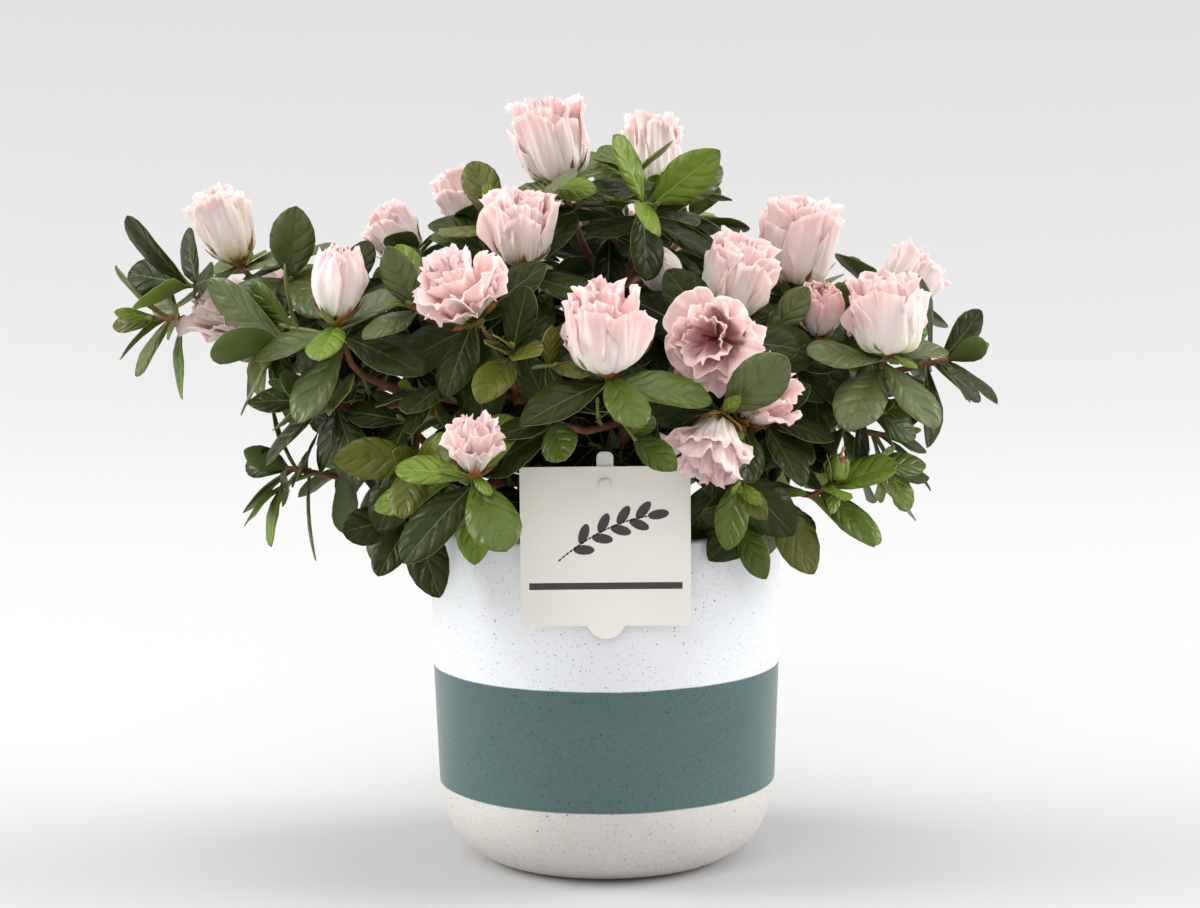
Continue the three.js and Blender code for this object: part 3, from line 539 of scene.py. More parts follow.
def growSmallLeaves(twig, draw, sizes=smallLeaves["long"]):
    start = draw() * math.tau
    low, high = smallLeaves["opened"]
    for j in range(smallLeaves["count"]):
        age = j / (smallLeaves["count"] - 1)
        opened = math.radians(low + (high - low) * age) + (draw() - 0.5) * smallLeaves["stray"]
        length = leafSize["long"] * between(sizes, draw)
        back = smallLeaves["back"][0] + smallLeaves["back"][1] * j
        tryBlade(twig, age, smallLeaves["shifts"], back, start + j * golden, opened, length,
                 smallLeaves["slender"])


def growSideTwigs(path, way, mass, growth, draw):  # leafy twigs along a path, each a golden turn on
    first, second = sides(way)
    start = draw() * math.tau
    for k in range(growth["count"]):
        tilt, long = math.radians(between(growth["tilt"], draw)), between(growth["long"], draw)
        foot = onPath(path, growth["first"] + growth["step"] * k)
        sideways = turned(first, second, start + k * golden)
        lift = vec((0, 0, sideTwig["upward"]))
        heading = unit(way * math.cos(tilt) + sideways * math.sin(tilt) + lift)
        collar = foot + heading * long
        bend = foot + unit(way + heading) * (long * sideTwig["bend"])
        twig = sideTwigAt(foot, bend, collar, mass, sideTwig["firstIndex"] + len(finerShoots))
        if reachShare(collar) > sideTwig["reach"] or not twigFree(twig["points"], twig["radii"], mass):
            continue
        growSmallLeaves(twig, draw)
        if len(twig["leaves"]) >= sideTwig["fewest"]:
            keepTwig(twig)
        elif twig["leaves"]:
            forgetLeaves(twig)


def growYoung(shoot):  # small bright leaves that haven't opened out yet
    draw = sequence(seeds["young"] + shoot["index"]).__next__
    count, short, long, low, high = youngGrowth["underBloom" if shoot["width"] else "onShoot"]
    start = draw() * math.tau
    for j in range(count):
        opened = math.radians(between((low, high), draw))
        tryBlade(shoot, -1, (0,), youngGrowth["back"] * j, start + j * golden, opened,
                 between((short, long), draw), youngGrowth["slender"])


def growWhorl(parent, tip, index):  # one more side twig, with a whorl of full-grown leaves at its tip
    foot = onPath(parent["points"], whorlGrowth["foot"])
    way = unit(parent["points"][-1] - parent["points"][0])
    bend = foot + way * (whorlGrowth["bend"] * lengthOf(tip - foot))
    twig = sideTwigAt(foot, bend, tip, parent["mass"], index)
    if twigFree(twig["points"], twig["radii"], twig["mass"]):
        growSmallLeaves(twig, sequence(seeds["finer"] + index).__next__, whorlGrowth["long"])
    if twig["leaves"]:
        keepTwig(twig)


finerShoots = []
for shoot in shoots:
    draw = sequence(seeds["finer"] + shoot["index"]).__next__
    way = unit(shoot["points"][-1] - shoot["points"][0])
    growSideTwigs(shoot["points"], way, shoot["mass"], twigGrowth, draw)
for name, limb in limbs.items():
    draw = sequence(seeds["boughTwigs"] + sideTwig["firstIndex"] + len(finerShoots)).__next__
    growSideTwigs(limb["points"] + [vec(plan[name]["hub"])], limb["heading"], name, boughGrowth, draw)
for shoot in shoots:
    growYoung(shoot)
byIndex = {shoot["index"]: shoot for shoot in shoots}
for k, (index, tip) in enumerate(whorlGrowth["places"]):
    growWhorl(byIndex[index], vec(tip), whorlGrowth["firstIndex"] + k)
print("finer growth:", len(finerShoots), "side twigs, and", len(blades), "leaves in all")


# Making pieces: a shape is a small bmesh read as arrays, and placed copies of it are joined. A
# sheet's faces are of four kinds: 0 its face, 1 a rib, 2 its margin and 3 its underside
def readShape(bm):
    bmesh.ops.recalc_face_normals(bm, faces=bm.faces[:])
    bm.verts.index_update()
    faces = [[v.index for v in face.verts] for face in bm.faces]
    shape = dict(points=np.array([v.co[:] for v in bm.verts]), loops=np.concatenate(faces),
                 counts=np.array([len(face) for face in faces]),
                 kinds=np.array([face.material_index for face in bm.faces]),
                 smooth=np.array([face.smooth for face in bm.faces]))
    bm.free()
    return shape


def newVerts(made):
    return [item for item in made["geom"] if isinstance(item, bmesh.types.BMVert)]


def sheetShape(places, widths, rib=False, plainUnder=()):
    bm = bmesh.new()
    rows, columns = len(places) - 1, len(widths) - 1
    bmesh.ops.create_grid(bm, x_segments=rows, y_segments=columns, size=0.5)
    for v in bm.verts:
        v.co = (places[round((v.co.x + 0.5) * rows)], widths[round((v.co.y + 0.5) * columns)], 0)
    for face in bm.faces:
        across = abs(face.calc_center_median().y)
        face.smooth = True
        face.material_index = 0 if not rib else 1 if across < 0.02 else 2 if across > 0.94 else 0
    top = set(bm.faces)
    for v in newVerts(bmesh.ops.extrude_face_region(bm, geom=bm.faces[:], use_keep_orig=True)):
        v.co.z = -1
    for face in bm.faces:
        if face not in top:
            face.smooth = all(v.co.z < -0.5 for v in face.verts)
            face.material_index = 3 if face.smooth else 2
    inner = [edge for edge in bm.edges
             if all(any(abs(v.co.y - y) < 0.01 for y in plainUnder) and v.co.z < 0 for v in edge.verts)
             and abs(edge.verts[0].co.y - edge.verts[1].co.y) < 0.01]
    if inner:
        bmesh.ops.dissolve_edges(bm, edges=inner, use_verts=True)
    return readShape(bm)


def tubeShape(around, steps):  # points are the turn's cosine and sine, and the share of the way
    bm = bmesh.new()
    bmesh.ops.create_circle(bm, segments=around, radius=1, cap_ends=True)
    edges = bm.edges[:]
    for k in range(steps):
        made = bmesh.ops.extrude_edge_only(bm, edges=edges)
        edges = [item for item in made["geom"] if isinstance(item, bmesh.types.BMEdge)]
        for v in newVerts(made):
            v.co.z = (k + 1) / steps
    bmesh.ops.holes_fill(bm, edges=edges, sides=0)
    for face in bm.faces:
        face.smooth = len(face.verts) == 4
    return readShape(bm)


def placed(shape, points, kinds, uv, value=None):
    return dict(shape, points=points, kinds=kinds, uv=uv,
                value=np.zeros(len(points)) if value is None else value)


def joinedPiece(name, parts, materials, nodes):
    def joined(key):
        return np.concatenate([part[key] for part in parts])

    sizes = [len(part["points"]) for part in parts]
    offsets = np.concatenate([[0], np.cumsum(sizes)[:-1]])
    loops = np.concatenate([part["loops"] + offset for part, offset in zip(parts, offsets)]).astype(np.int32)
    counts = joined("counts")
    mesh = bpy.data.meshes.new(name)
    mesh.vertices.add(sum(sizes))
    mesh.vertices.foreach_set("co", (joined("points") * mm).ravel())
    mesh.loops.add(len(loops))
    mesh.loops.foreach_set("vertex_index", loops)
    mesh.polygons.add(len(counts))
    mesh.polygons.foreach_set("loop_start", np.concatenate([[0], np.cumsum(counts)[:-1]]).astype(np.int32))
    mesh.polygons.foreach_set("material_index", joined("kinds").astype(np.int32))
    mesh.polygons.foreach_set("use_smooth", joined("smooth"))
    mesh.uv_layers.new(name="UVMap").data.foreach_set("uv", joined("uv")[loops].ravel())
    mesh.attributes.new("fade", "FLOAT", "POINT").data.foreach_set("value", joined("value"))
    mesh.update(calc_edges=True)
    mesh.validate()
    return finishedPiece(name, mesh, materials, nodes)


def meshOf(bm, name, smooth=True):
    if smooth:
        for face in bm.faces:
            face.smooth = True
    mesh = bpy.data.meshes.new(name)
    bm.to_mesh(mesh)
    bm.free()
    return mesh


def finishedPiece(name, mesh, materials, nodes):
    piece = bpy.data.objects.new(name, mesh)
    bpy.context.scene.collection.objects.link(piece)
    for material in materials:
        mesh.materials.append(material)
    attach(piece, "root")
    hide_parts(*nodes)
    return piece


def carriedFrames(points):  # two directions square to a path at each of its points, carried along it
    ways = np.gradient(points, axis=0)
    ways /= np.sqrt(dots(ways, ways))[:, None]
    first = sides(ways[0])[0]
    firsts = []
    for way in ways:
        first = unit(first - way * float(first @ way))
        firsts.append(first)
    firsts = np.array(firsts)
    return firsts, np.cross(ways, firsts)


def spansOf(path):
    steps = np.diff(path, axis=0)
    return np.sqrt(dots(steps, steps))


def alongPath(path, shares):  # points at shares of a path's length
    runs = np.concatenate([[0], np.cumsum(spansOf(path))])
    return np.stack([np.interp(shares, runs / runs[-1], path[:, k]) for k in range(3)], axis=1)


def tube(shape, path, radii, relief=None, kind=0):
    share = shape["points"][:, 2]
    steps = round(1 / np.unique(share)[1])
    spine = alongPath(np.array(path), np.linspace(0, 1, steps + 1))
    first, second = carriedFrames(spine)
    row = np.rint(share * steps).astype(int)
    turn = np.arctan2(shape["points"][:, 1], shape["points"][:, 0])
    radius = np.interp(share, np.linspace(0, 1, len(radii)), radii)
    if relief is not None:
        radius = radius * (1 + relief(turn, share))
    points = (spine[row] + first[row] * (np.cos(turn) * radius)[:, None]
              + second[row] * (np.sin(turn) * radius)[:, None])
    uv = np.stack([turn / math.tau, share * spansOf(spine).sum() / 20], axis=1)
    return placed(shape, points, np.full(len(shape["counts"]), kind), uv)


# Materials
def tint(red, green, blue):  # a colour as the eye numbers it, made linear
    return tuple((c / 12.92 if c <= 0.04045 else ((c + 0.055) / 1.055) ** 2.4)
                 for c in (red / 255, green / 255, blue / 255)) + (1,)


def newMaterial(name, color, **inputs):
    made = bpy.data.materials.new(name)
    made.use_nodes = True
    shader = made.node_tree.nodes["Principled BSDF"]
    shader.inputs["Base Color"].default_value = tint(*color)
    for key, value in inputs.items():
        shader.inputs[key.replace("_", " ")].default_value = value
    made.diffuse_color = tint(*color)
    return made, shader


def addNode(made, kind, inputs=None, **settings):
    node = made.node_tree.nodes.new("ShaderNode" + kind)
    for key, value in settings.items():
        setattr(node, key, value)
    for key, value in (inputs or {}).items():
        if isinstance(value, bpy.types.NodeSocket):
            made.node_tree.links.new(value, node.inputs[key])
        else:
            node.inputs[key].default_value = value
    return node


def link(made, output, target):
    made.node_tree.links.new(output, target)


def calculate(made, operation, *values, clamp=False):
    inputs = dict(enumerate(values))
    return addNode(made, "Math", inputs, operation=operation, use_clamp=clamp).outputs[0]


def objectPlace(made):
    return addNode(made, "TexCoord").outputs["Object"]


def mapPlace(made):
    return addNode(made, "UVMap", uv_map="UVMap").outputs[0]


def noise(made, scale, detail=2.0, roughness=0.5, stretch=None, place=None):
    place = place or objectPlace(made)
    if stretch:
        place = addNode(made, "Mapping", {"Vector": place, "Scale": stretch}).outputs[0]
    inputs = {"Vector": place, "Scale": scale, "Detail": detail, "Roughness": roughness}
    return addNode(made, "TexNoise", inputs).outputs[0]


def spanned(made, value, low, high, newLow, newHigh, easing="LINEAR"):
    inputs = {"Value": value, "From Min": low, "From Max": high, "To Min": newLow, "To Max": newHigh}
    return addNode(made, "MapRange", inputs, interpolation_type=easing).outputs[0]


def mixColors(made, share, first, second):
    inputs = {0: share, 6: first, 7: second}
    node = addNode(made, "Mix", data_type="RGBA")
    for key, value in inputs.items():
        if isinstance(value, bpy.types.NodeSocket):
            link(made, value, node.inputs[key])
        else:
            node.inputs[key].default_value = value
    return node.outputs[2]


def mottle(made, shader, pattern, first, second, spread=0.15):  # two tints dealt out by a noise
    share = spanned(made, pattern, 0.5 - spread, 0.5 + spread, 0, 1)
    link(made, mixColors(made, share, tint(*first), tint(*second)), shader.inputs["Base Color"])


def bump(made, shader, height, distance, strength=1.0):
    node = addNode(made, "Bump", {"Height": height, "Distance": distance * mm, "Strength": strength})
    link(made, node.outputs[0], shader.inputs["Normal"])


# Leaves: the blade's tints are dealt out by spray, and the leaves deep in the crown get the darkest ones,
# shade and deep, as painted shade
# slate is partly the leaves' own grey-green and partly a painted grey sheen
leafTints = dict(shade=(22, 28, 4), deep=(42, 51, 7), slate=(85, 96, 49), olive=(90, 94, 20),
                 mid=(76, 95, 19), fresh=(104, 128, 34), young=(116, 138, 48))
leafGloss = dict(shade=0.1, deep=0.18, slate=0.5, olive=0.36, mid=0.38, fresh=0.36, young=0.34)
leafTrims = dict(rib=(80, 92, 44), ribFresh=(130, 152, 62), margin=(128, 122, 66), under=(84, 100, 44),
                 underFresh=(112, 136, 46))
leafFinish = dict(roughness=(0.34, 0.52), vein=0.34, pucker=1.9, veins=5.0, slant=0.3, stray=0.08)
leafForm = dict(shares=(0, 0.09, 0.2, 0.34, 0.5, 0.65, 0.79, 0.9, 0.97, 1),
                blunt=(0.07, 0.13, 0.4, 0.72, 0.97, 1.08, 1.03, 0.78, 0.44, 0.06),
                pointed=(0.07, 0.15, 0.48, 0.82, 1.02, 1.0, 0.82, 0.52, 0.24, 0.04),
                across=(-1, -0.52, -0.01, 0.01, 0.52, 1), fewShares=(0, 0.12, 0.3, 0.52, 0.72, 0.87, 0.96, 1),
                fewAcross=(-1, -0.01, 0.01, 1), small=25, middle=0.52, root=1.6, rib=(0.42, 0.06), puff=0.8,
                groove=0.3, wave=0.6, waves=8, offset=1.4, curl=1.1, curlBack=1.3, twist=0.16,
                thick=((0, 0.95), (0.1, 0.95), (0.26, 0.34), (1, 0.22)), full=30)
inwardTints = dict(shade=0.7, deep=0.86, own=0.3, stray=0.12)  # painted shade: how far out from the crown's core the shade and deep tints reach, and how many leaves differ
sprayTintNames = ("slate", "mid", "deep", "olive", "fresh")
# painted light and sheen by height: sprays below level draw their tint from the low shares, the others from
# the high shares
sprayShares = dict(low=(0.12, 0.5, 0.6, 0.78), high=(0.38, 0.62, 0.78, 0.9), level=182)
sprayTints = {0: "mid", 25: "fresh", 33: "slate", 43: "fresh", 52: "fresh", 53: "fresh",
              2000: "deep", 2001: "slate", 2002: "fresh", 2003: "slate"}


def leafMaterial(name):
    made, shader = newMaterial("leaf " + name, leafTints[name], Specular_IOR_Level=leafGloss[name])
    place = addNode(made, "SeparateXYZ", {0: mapPlace(made)})
    across = calculate(made, "ABSOLUTE", place.outputs[1])
    shift = calculate(made, "MULTIPLY_ADD", across, -leafFinish["slant"], place.outputs[0])
    shift = calculate(made, "MULTIPLY_ADD", noise(made, 90, 1), leafFinish["stray"], shift)
    wave = calculate(made, "PINGPONG", calculate(made, "MULTIPLY", shift, leafFinish["veins"]), 0.5)
    veins = spanned(made, wave, 0.0, 0.3, 0.0, 1.0, "SMOOTHSTEP")
    grain = calculate(made, "MULTIPLY", noise(made, 110, 2), leafFinish["pucker"] / leafFinish["vein"])
    rough = spanned(made, noise(made, 160, 2), 0.3, 0.7, *leafFinish["roughness"])
    link(made, rough, shader.inputs["Roughness"])
    bump(made, shader, calculate(made, "ADD", grain, veins), leafFinish["vein"])
    return made


def trimMaterial(name):
    made, shader = newMaterial("leaf " + name, leafTrims[name], Roughness=0.5, Specular_IOR_Level=0.4)
    bump(made, shader, noise(made, 700, 2), 0.05)
    return made


def leafPoints(blade, shape, draw):
    share, across, level = shape["points"].T
    aside = np.abs(across)
    length, half = blade["length"], blade["width"] / 2
    u = -leafForm["root"] + (length + leafForm["root"]) * share
    point = draw()
    outline = vec(leafForm["blunt"]) * (1 - point) + vec(leafForm["pointed"]) * point
    wide = np.interp(share, leafForm["shares"], outline) * half
    ribHalf = np.minimum(np.interp(share, (0, 1), leafForm["rib"]), wide * 0.5)
    v = np.where(aside < 0.1, np.sign(across) * ribHalf, across * wide)
    middle = leafForm["middle"]
    puff = leafForm["puff"] * (1 - ((aside - middle) / middle) ** 2) * np.sin(np.pi * np.clip(share, 0, 1))
    edge = aside ** 2 * np.sin(np.pi * np.clip(share * 1.05 - 0.05, 0, 1))
    phase = draw() * 6.28
    bend = phase + share * leafForm["waves"] + np.sign(across) * leafForm["offset"]
    wave = leafForm["wave"] * np.sin(bend) * edge
    curl = leafForm["curl"] * (draw() * 2 - leafForm["curlBack"]) * edge
    twist = (draw() - 0.5) * leafForm["twist"] * v * share
    thick = np.interp(share, *zip(*leafForm["thick"]))
    lift = puff + wave + curl + twist - leafForm["groove"] * (aside < 0.1) + level * thick
    scale = min(1, length / leafForm["full"])
    return bladePoints(blade, u, v, lift * np.where(level < 0, 1, scale)), np.stack([share, across], axis=1)


def leafTintOf(blade, sprayTint, draw):
    if blade["age"] < 0:
        return "young"
    # painted shade: the nearer a leaf lies to the crown's core, the darker its tint; deep is also a spray
    # tint of its own
    inner = reachShare(blade["centre"]) + inwardTints["stray"] * (draw() - 0.5)
    if inner < inwardTints["shade"]:
        return "shade"
    if inner < inwardTints["deep"]:
        return "deep"
    if draw() < inwardTints["own"]:
        return sprayTintNames[int(draw() * 5) % 5]
    return sprayTint


def growTints():  # painted light by height: the low sprays are fresher, as if lit from the pale floor below, and the high ones are greyer and darker, a painted grey sheen on the upper leaves
    tints = {}
    for shoot in shoots + finerShoots:
        pick = sequence(seeds["looks"] + shoot["index"]).__next__()
        steps = sprayShares["low" if shoot["points"][-1][2] < sprayShares["level"] else "high"]
        dealt = sprayTintNames[sum(pick >= step for step in steps)]
        tints[shoot["index"]] = sprayTints.get(shoot["index"], dealt)
    return tints


def coversStem(blade):  # no young leaf stands before the stem under the front bloom
    return blade["shoot"] == 0 and blade["age"] < 0 and blade["out"][1] < -0.5


def coversPick(blade):  # the pick's head stays in view above the card
    p = np.concatenate(blade["runs"])
    level = (p[:, 2] > cardSize["high"] - 6) & (p[:, 2] < pickSize["top"] + 8)
    return bool((level & (np.abs(p[:, 0]) < 7) & (p[:, 1] < pickSize["foot"])).any())


def makeLeaves():
    names = list(leafTints) + list(leafTrims)
    made = [leafMaterial(name) for name in leafTints] + [trimMaterial(name) for name in leafTrims]
    large = sheetShape(leafForm["shares"], leafForm["across"], rib=True, plainUnder=(-0.52, 0.01, 0.52))
    small = sheetShape(leafForm["fewShares"], leafForm["fewAcross"], rib=True, plainUnder=(0.01,))
    tints = growTints()
    parts = {name: [] for name in plan}
    for order, blade in enumerate(blades):
        if coversPick(blade) or coversStem(blade):
            continue
        draw = sequence(seeds["leafLooks"] + order).__next__
        shape = small if blade["length"] < leafForm["small"] else large
        color = leafTintOf(blade, tints[blade["shoot"]], draw)
        trim = "Fresh" if color in ("fresh", "young") else ""
        kinds = np.array([names.index(name) for name in (color, "rib" + trim, "margin", "under" + trim)])
        points, uv = leafPoints(blade, shape, draw)
        parts[blade["mass"]].append(placed(shape, points, kinds[shape["kinds"]], uv))
    for name, some in parts.items():
        joinedPiece("leaves_" + name, some, made, ["mass_" + name])
    print("leaves:", sum(len(some) for some in parts.values()), "in", len(parts), "pieces")


makeLeaves()

# Wood: twigs and stems for each mass, and boughs and a trunk with bark relief
woodForm = dict(twigAround=6, twigSteps=8, boughAround=14, boughSteps=36, trunkAround=40, trunkSteps=48,
                rough=0.09, easing=0.22, twigShare=0.92, beyond=0.8, budPath=(0, 1.2, 2.6, 4.2),
                bud=(0.7, 1, 1.25, 1.3, 1.1, 0.8, 0.5, 0.15), stem=(2.25, 2.35, 2.9, 3.3, 3.1, 2.2, 0.9))


def barkRelief(phase, ribs=0, ribDepth=0.0, scale=1.0):  # lengthwise ridges, fine cracks and swellings
    def relief(turn, share):
        along = share * scale
        slow = (np.sin(turn * 3 + along * 9 + phase) * 0.5
                + np.sin(turn * 5 - along * 14 + phase * 2.3) * 0.3)
        fine = np.sin(turn * 11 + np.sin(along * 31 + phase) * 1.6) * 0.4
        swell = np.sin(along * 23 + phase * 1.7) * 0.35
        rough = woodForm["rough"] * (slow * 0.5 + fine * 0.35 + swell * 0.3)
        return rough + ribDepth * np.cos(turn * ribs) * (1 - share)
    return relief


def barkMaterials():
    twig, shader = newMaterial("twig bark", (116, 70, 44), Roughness=0.65)
    mottle(twig, shader, noise(twig, 120, 3), (98, 52, 34), (142, 96, 56))
    bump(twig, shader, noise(twig, 900, 3, stretch=(1, 1, 0.4)), 0.12)
    wood, shader = newMaterial("old bark", (104, 84, 66), Roughness=0.85)
    mottle(wood, shader, noise(wood, 160, 4, 0.65), (82, 64, 48), (136, 116, 92))
    bump(wood, shader, noise(wood, 520, 5, 0.7, stretch=(1, 1, 0.25)), 0.35)
    green, shader = newMaterial("young shoot", (120, 128, 64), Roughness=0.55)
    bump(green, shader, noise(green, 800, 2), 0.08)
    return twig, wood, green


def cornered(points):  # a path along the solid's own twig, with its corner rounded off
    a, b, c = points[0], points[1], points[2]
    easing = woodForm["easing"]
    corner = [curvePoint(b + (a - b) * easing, b, b + (c - b) * easing, t) for t in np.linspace(0, 1, 7)]
    return np.array([a] + corner + [c])


def makeWood():
    twigBark, oldBark, youngBark = barkMaterials()
    twigShape = tubeShape(woodForm["twigAround"], woodForm["twigSteps"])
    boughShape = tubeShape(woodForm["boughAround"], woodForm["boughSteps"])
    parts = {name: [] for name in plan}
    for shoot in shoots + finerShoots:
        some, tip, index = parts[shoot["mass"]], shoot["points"][-1], shoot["index"]
        beyond = tip + unit(tip - shoot["points"][-2]) * woodForm["beyond"]
        path = np.concatenate([cornered(shoot["points"]), [beyond]])
        radii = np.array(shoot["radii"]) * woodForm["twigShare"]
        some.append(tube(twigShape, path, radii, barkRelief(index), int(index >= sideTwig["firstIndex"])))
        if not shoot["width"]:
            bud = tip + shoot["whorl"] * np.array(woodForm["budPath"])[:, None]
            some.append(tube(twigShape, bud, np.array(woodForm["bud"]) * shoot["radii"][-1], kind=1))
    for name, limb in limbs.items():
        hub = vec(plan[name]["hub"])
        start = limb["end"] + limb["heading"] * clear
        stem = np.array([start, (start + hub) / 2, hub, hub + limb["heading"] * 1.5])
        parts[name].append(tube(boughShape, stem, woodForm["stem"], barkRelief(7)))
        joinedPiece("twigs_" + name, parts[name], [twigBark, youngBark], ["mass_" + name])
        path = np.array(curvePoints(limb["start"], limb["elbow"], limb["end"], woodForm["boughSteps"]))
        relief = barkRelief(len(name), scale=2)
        bough = tube(boughShape, path, (boughSize["thick"], boughSize["thin"]), relief)
        joinedPiece("bark_" + name, [bough], [oldBark], ["bough_" + name])
    foot, bend, top = (vec(trunkSize[key]) for key in ("foot", "bend", "top"))
    trunkShape = tubeShape(woodForm["trunkAround"], woodForm["trunkSteps"])
    path = np.array(curvePoints(foot, bend, top, woodForm["trunkSteps"]))
    relief = barkRelief(2, trunkSize["ribs"], trunkSize["ribDepth"], 1.5)
    trunk = tube(trunkShape, path, trunkSize["radii"], relief)
    joinedPiece("trunk_bark", [trunk], [oldBark], ["trunk"])
    print("wood:", sum(len(some) for some in parts.values()), "twigs and stems, the boughs and the trunk")


makeWood()

# Blooms: whorls of petals bent on a profile of out and up shares, with ribs, ruffles and small teeth
bloomForms = dict(
    goblet=[dict(count=5, half=50, tall=(0.76, 1.02), lap=0.06,
                 path=((0.16, 0), (0.56, 0.03), (0.84, 0.14), (0.95, 0.34), (0.97, 0.56), (0.96, 0.78),
                       (1.02, 0.94))),
            dict(count=4, half=54, tall=(0.84, 1.06), lap=0.07,
                 path=((0.08, 0.02), (0.42, 0.12), (0.7, 0.34), (0.8, 0.6), (0.8, 0.82), (0.82, 0.99))),
            dict(count=4, half=54, tall=(0.84, 1.06), lap=0.09,
                 path=((0.05, 0.06), (0.28, 0.2), (0.52, 0.48), (0.6, 0.74), (0.56, 0.9), (0.5, 1.0))),
            dict(count=3, half=74, tall=(0.9, 1.0), lap=0.1,
                 path=((0.03, 0.1), (0.14, 0.3), (0.28, 0.6), (0.26, 0.86), (0.14, 0.98)))],
    open=[dict(count=5, half=46, tall=(0.8, 1.08), lap=0.04,
               path=((0.1, 0), (0.36, 0.08), (0.62, 0.26), (0.86, 0.44), (1.05, 0.55), (1.17, 0.57))),
          dict(count=4, half=54, tall=(0.8, 1.06), lap=0.08,
               path=((0.07, 0.02), (0.36, 0.12), (0.58, 0.34), (0.7, 0.58), (0.76, 0.78), (0.84, 0.9))),
          dict(count=4, half=56, tall=(0.82, 1.05), lap=0.1,
               path=((0.05, 0.06), (0.24, 0.22), (0.42, 0.48), (0.5, 0.72), (0.46, 0.9), (0.38, 1.0))),
          dict(count=3, half=76, tall=(0.9, 1.0), lap=0.12,
               path=((0.04, 0.1), (0.16, 0.3), (0.26, 0.6), (0.22, 0.86), (0.1, 0.98)))],
    bud=[dict(count=4, half=62, tall=(0.88, 1), lap=0.08,
              path=((0.14, 0), (0.56, 0.12), (0.88, 0.36), (0.96, 0.62), (0.76, 0.86), (0.5, 0.99))),
         dict(count=3, half=72, tall=(0.9, 1), lap=0.09,
              path=((0.08, 0.02), (0.48, 0.16), (0.74, 0.46), (0.72, 0.74), (0.52, 0.95), (0.36, 1.01))),
         dict(count=3, half=74, tall=(0.95, 1), lap=0.1,
              path=((0.04, 0.1), (0.24, 0.3), (0.42, 0.6), (0.32, 0.9), (0.16, 1)))],
    spent=[dict(count=4, half=60, tall=(0.9, 1), lap=0.05, turn=0.3, aside=(0, 0, 0), deep=0,
                path=((0.2, 0), (0.8, 0.15), (0.85, 0.4), (0.5, 0.62), (0.25, 0.7)))])
# inside and deep set the painted light at the base of the inner faces and of the inner rings' outer faces
petalForm = dict(rows=12, columns=26, fewRows=8, fewColumns=17, thick=0.28, shoulder=0.08, round=0.28,
                 point=0.05, fold=0.062, crumple=0.064, ruffle=2.1, cup=0.14, flare=0.2, corner=0.1,
                 uneven=0.1, slim=0.84, lean=0.12, shift=0.1, funnel=0.14, tooth=0.03, inside=0.15, deep=0.7)
petalWaves = dict(teeth=((7, 0.5), (15, 0.3), (25, 0.28)),  # waves across a petal, and their shares
                  ruffle=((5.5, 0.45), (11, 0.4), (18, 0.3), (27, 0.16)),
                  ribs=((4.6, 0.8, 0.5, 0), (9.5, -1.4, 0.396, 0.216), (17, 3, 0.286, 0.208)))
looseness = dict(goblet=1.0, open=1.5, bud=0.5, spent=1.0)
petalTones = {0: 1.0, 15: 1.5, 34: -0.8, 33: -0.35, 35: -0.4, 28: 0.1, 3: 0.0, 10: 0.3, 11: -0.2,
              52: 0.3}  # pinker or paler blooms, by shoot
bloomLifts = {3: 0.8, 10: 0.35, 11: -0.9, 34: 0.8}  # how far some blooms turn up from their bud's way
stamenBlooms = (6, 10)  # front blooms open enough for their stamens to show
spentRadius = 6.4
# the inside tints are partly the heart's own deeper pink and partly painted shade: warmer and more saturated
# than the outside, as the inner faces lie in the petals' shade
petalStops = dict(
    outside=((0.0, (190, 168, 92)), (0.1, (234, 216, 152)), (0.24, (254, 241, 214)),
             (0.42, (255, 236, 226)), (0.7, (255, 222, 217)), (1.0, (253, 200, 197))),
    inside=((0.0, (244, 114, 128)), (0.2, (254, 182, 180)), (0.45, (255, 210, 206)),
            (0.75, (255, 222, 219)), (1.0, (255, 207, 206))))
smallParts = {"bud scale": ((158, 100, 50), 0.55), "bract": ((138, 158, 62), 0.5),
              "stamen": ((150, 44, 62), 0.5), "style": ((196, 190, 120), 0.5),
              "spent tip": ((178, 62, 92), 0.5)}
bloomKinds = dict(outside=0, scale=1, bract=2, stamen=3, style=4, spentTip=5, inside=6)


def evenShares(count, low=0.0, high=1.0):
    return tuple(np.linspace(low, high, count + 1))


def smoothCurve(points, t):  # a curve through points, each an equal share of the way on
    points = np.array(points, float)
    points = np.concatenate([[2 * points[0] - points[1]], points, [2 * points[-1] - points[-2]]])
    spot = np.clip(t, 0, 1) * (len(points) - 3)
    i = np.minimum(spot.astype(int), len(points) - 4)
    f = (spot - i)[..., None]
    a, b, c, d = points[i], points[i + 1], points[i + 2], points[i + 3]
    return b + 0.5 * f * (c - a + f * (2 * a - 5 * b + 4 * c - d + f * (3 * (b - c) + d - a)))


def curveWays(points, t, scale, step=0.01):  # the curve's directions at t
    late = np.minimum(t + step, 1)
    ahead = (smoothCurve(points, late) - smoothCurve(points, late - step)) * scale
    return ahead / (np.sqrt(dots(ahead, ahead))[:, None] + 1e-9)


def waves(s, rows, phases):
    return sum(share * np.sin(s * count + phase) for (count, share), phase in zip(rows, phases))


def petalFolds(t, s, rise, ribs, radius, loose, phases):  # how far a petal stands off its profile
    fold = petalForm["fold"] * ribs * rise * (0.7 + 0.5 * loose)
    bent = s + 0.14 * np.sin(t * 7 + phases[6])
    creases = (np.sin(t * 6 + phases[5] + s * 2) * np.cos(s * 5 + phases[6])
               + 0.4 * np.sin(bent * 12 + phases[0]) * np.cos(t * 9 + phases[1])
               + 0.25 * np.sin(bent * 21 + phases[3] + 2 * np.sin(t * 11 + phases[2])))
    cup = petalForm["cup"] * s ** 2 * np.clip(1.1 - t, 0, 1) * rise
    return radius * (fold + petalForm["crumple"] * t * creases - cup)


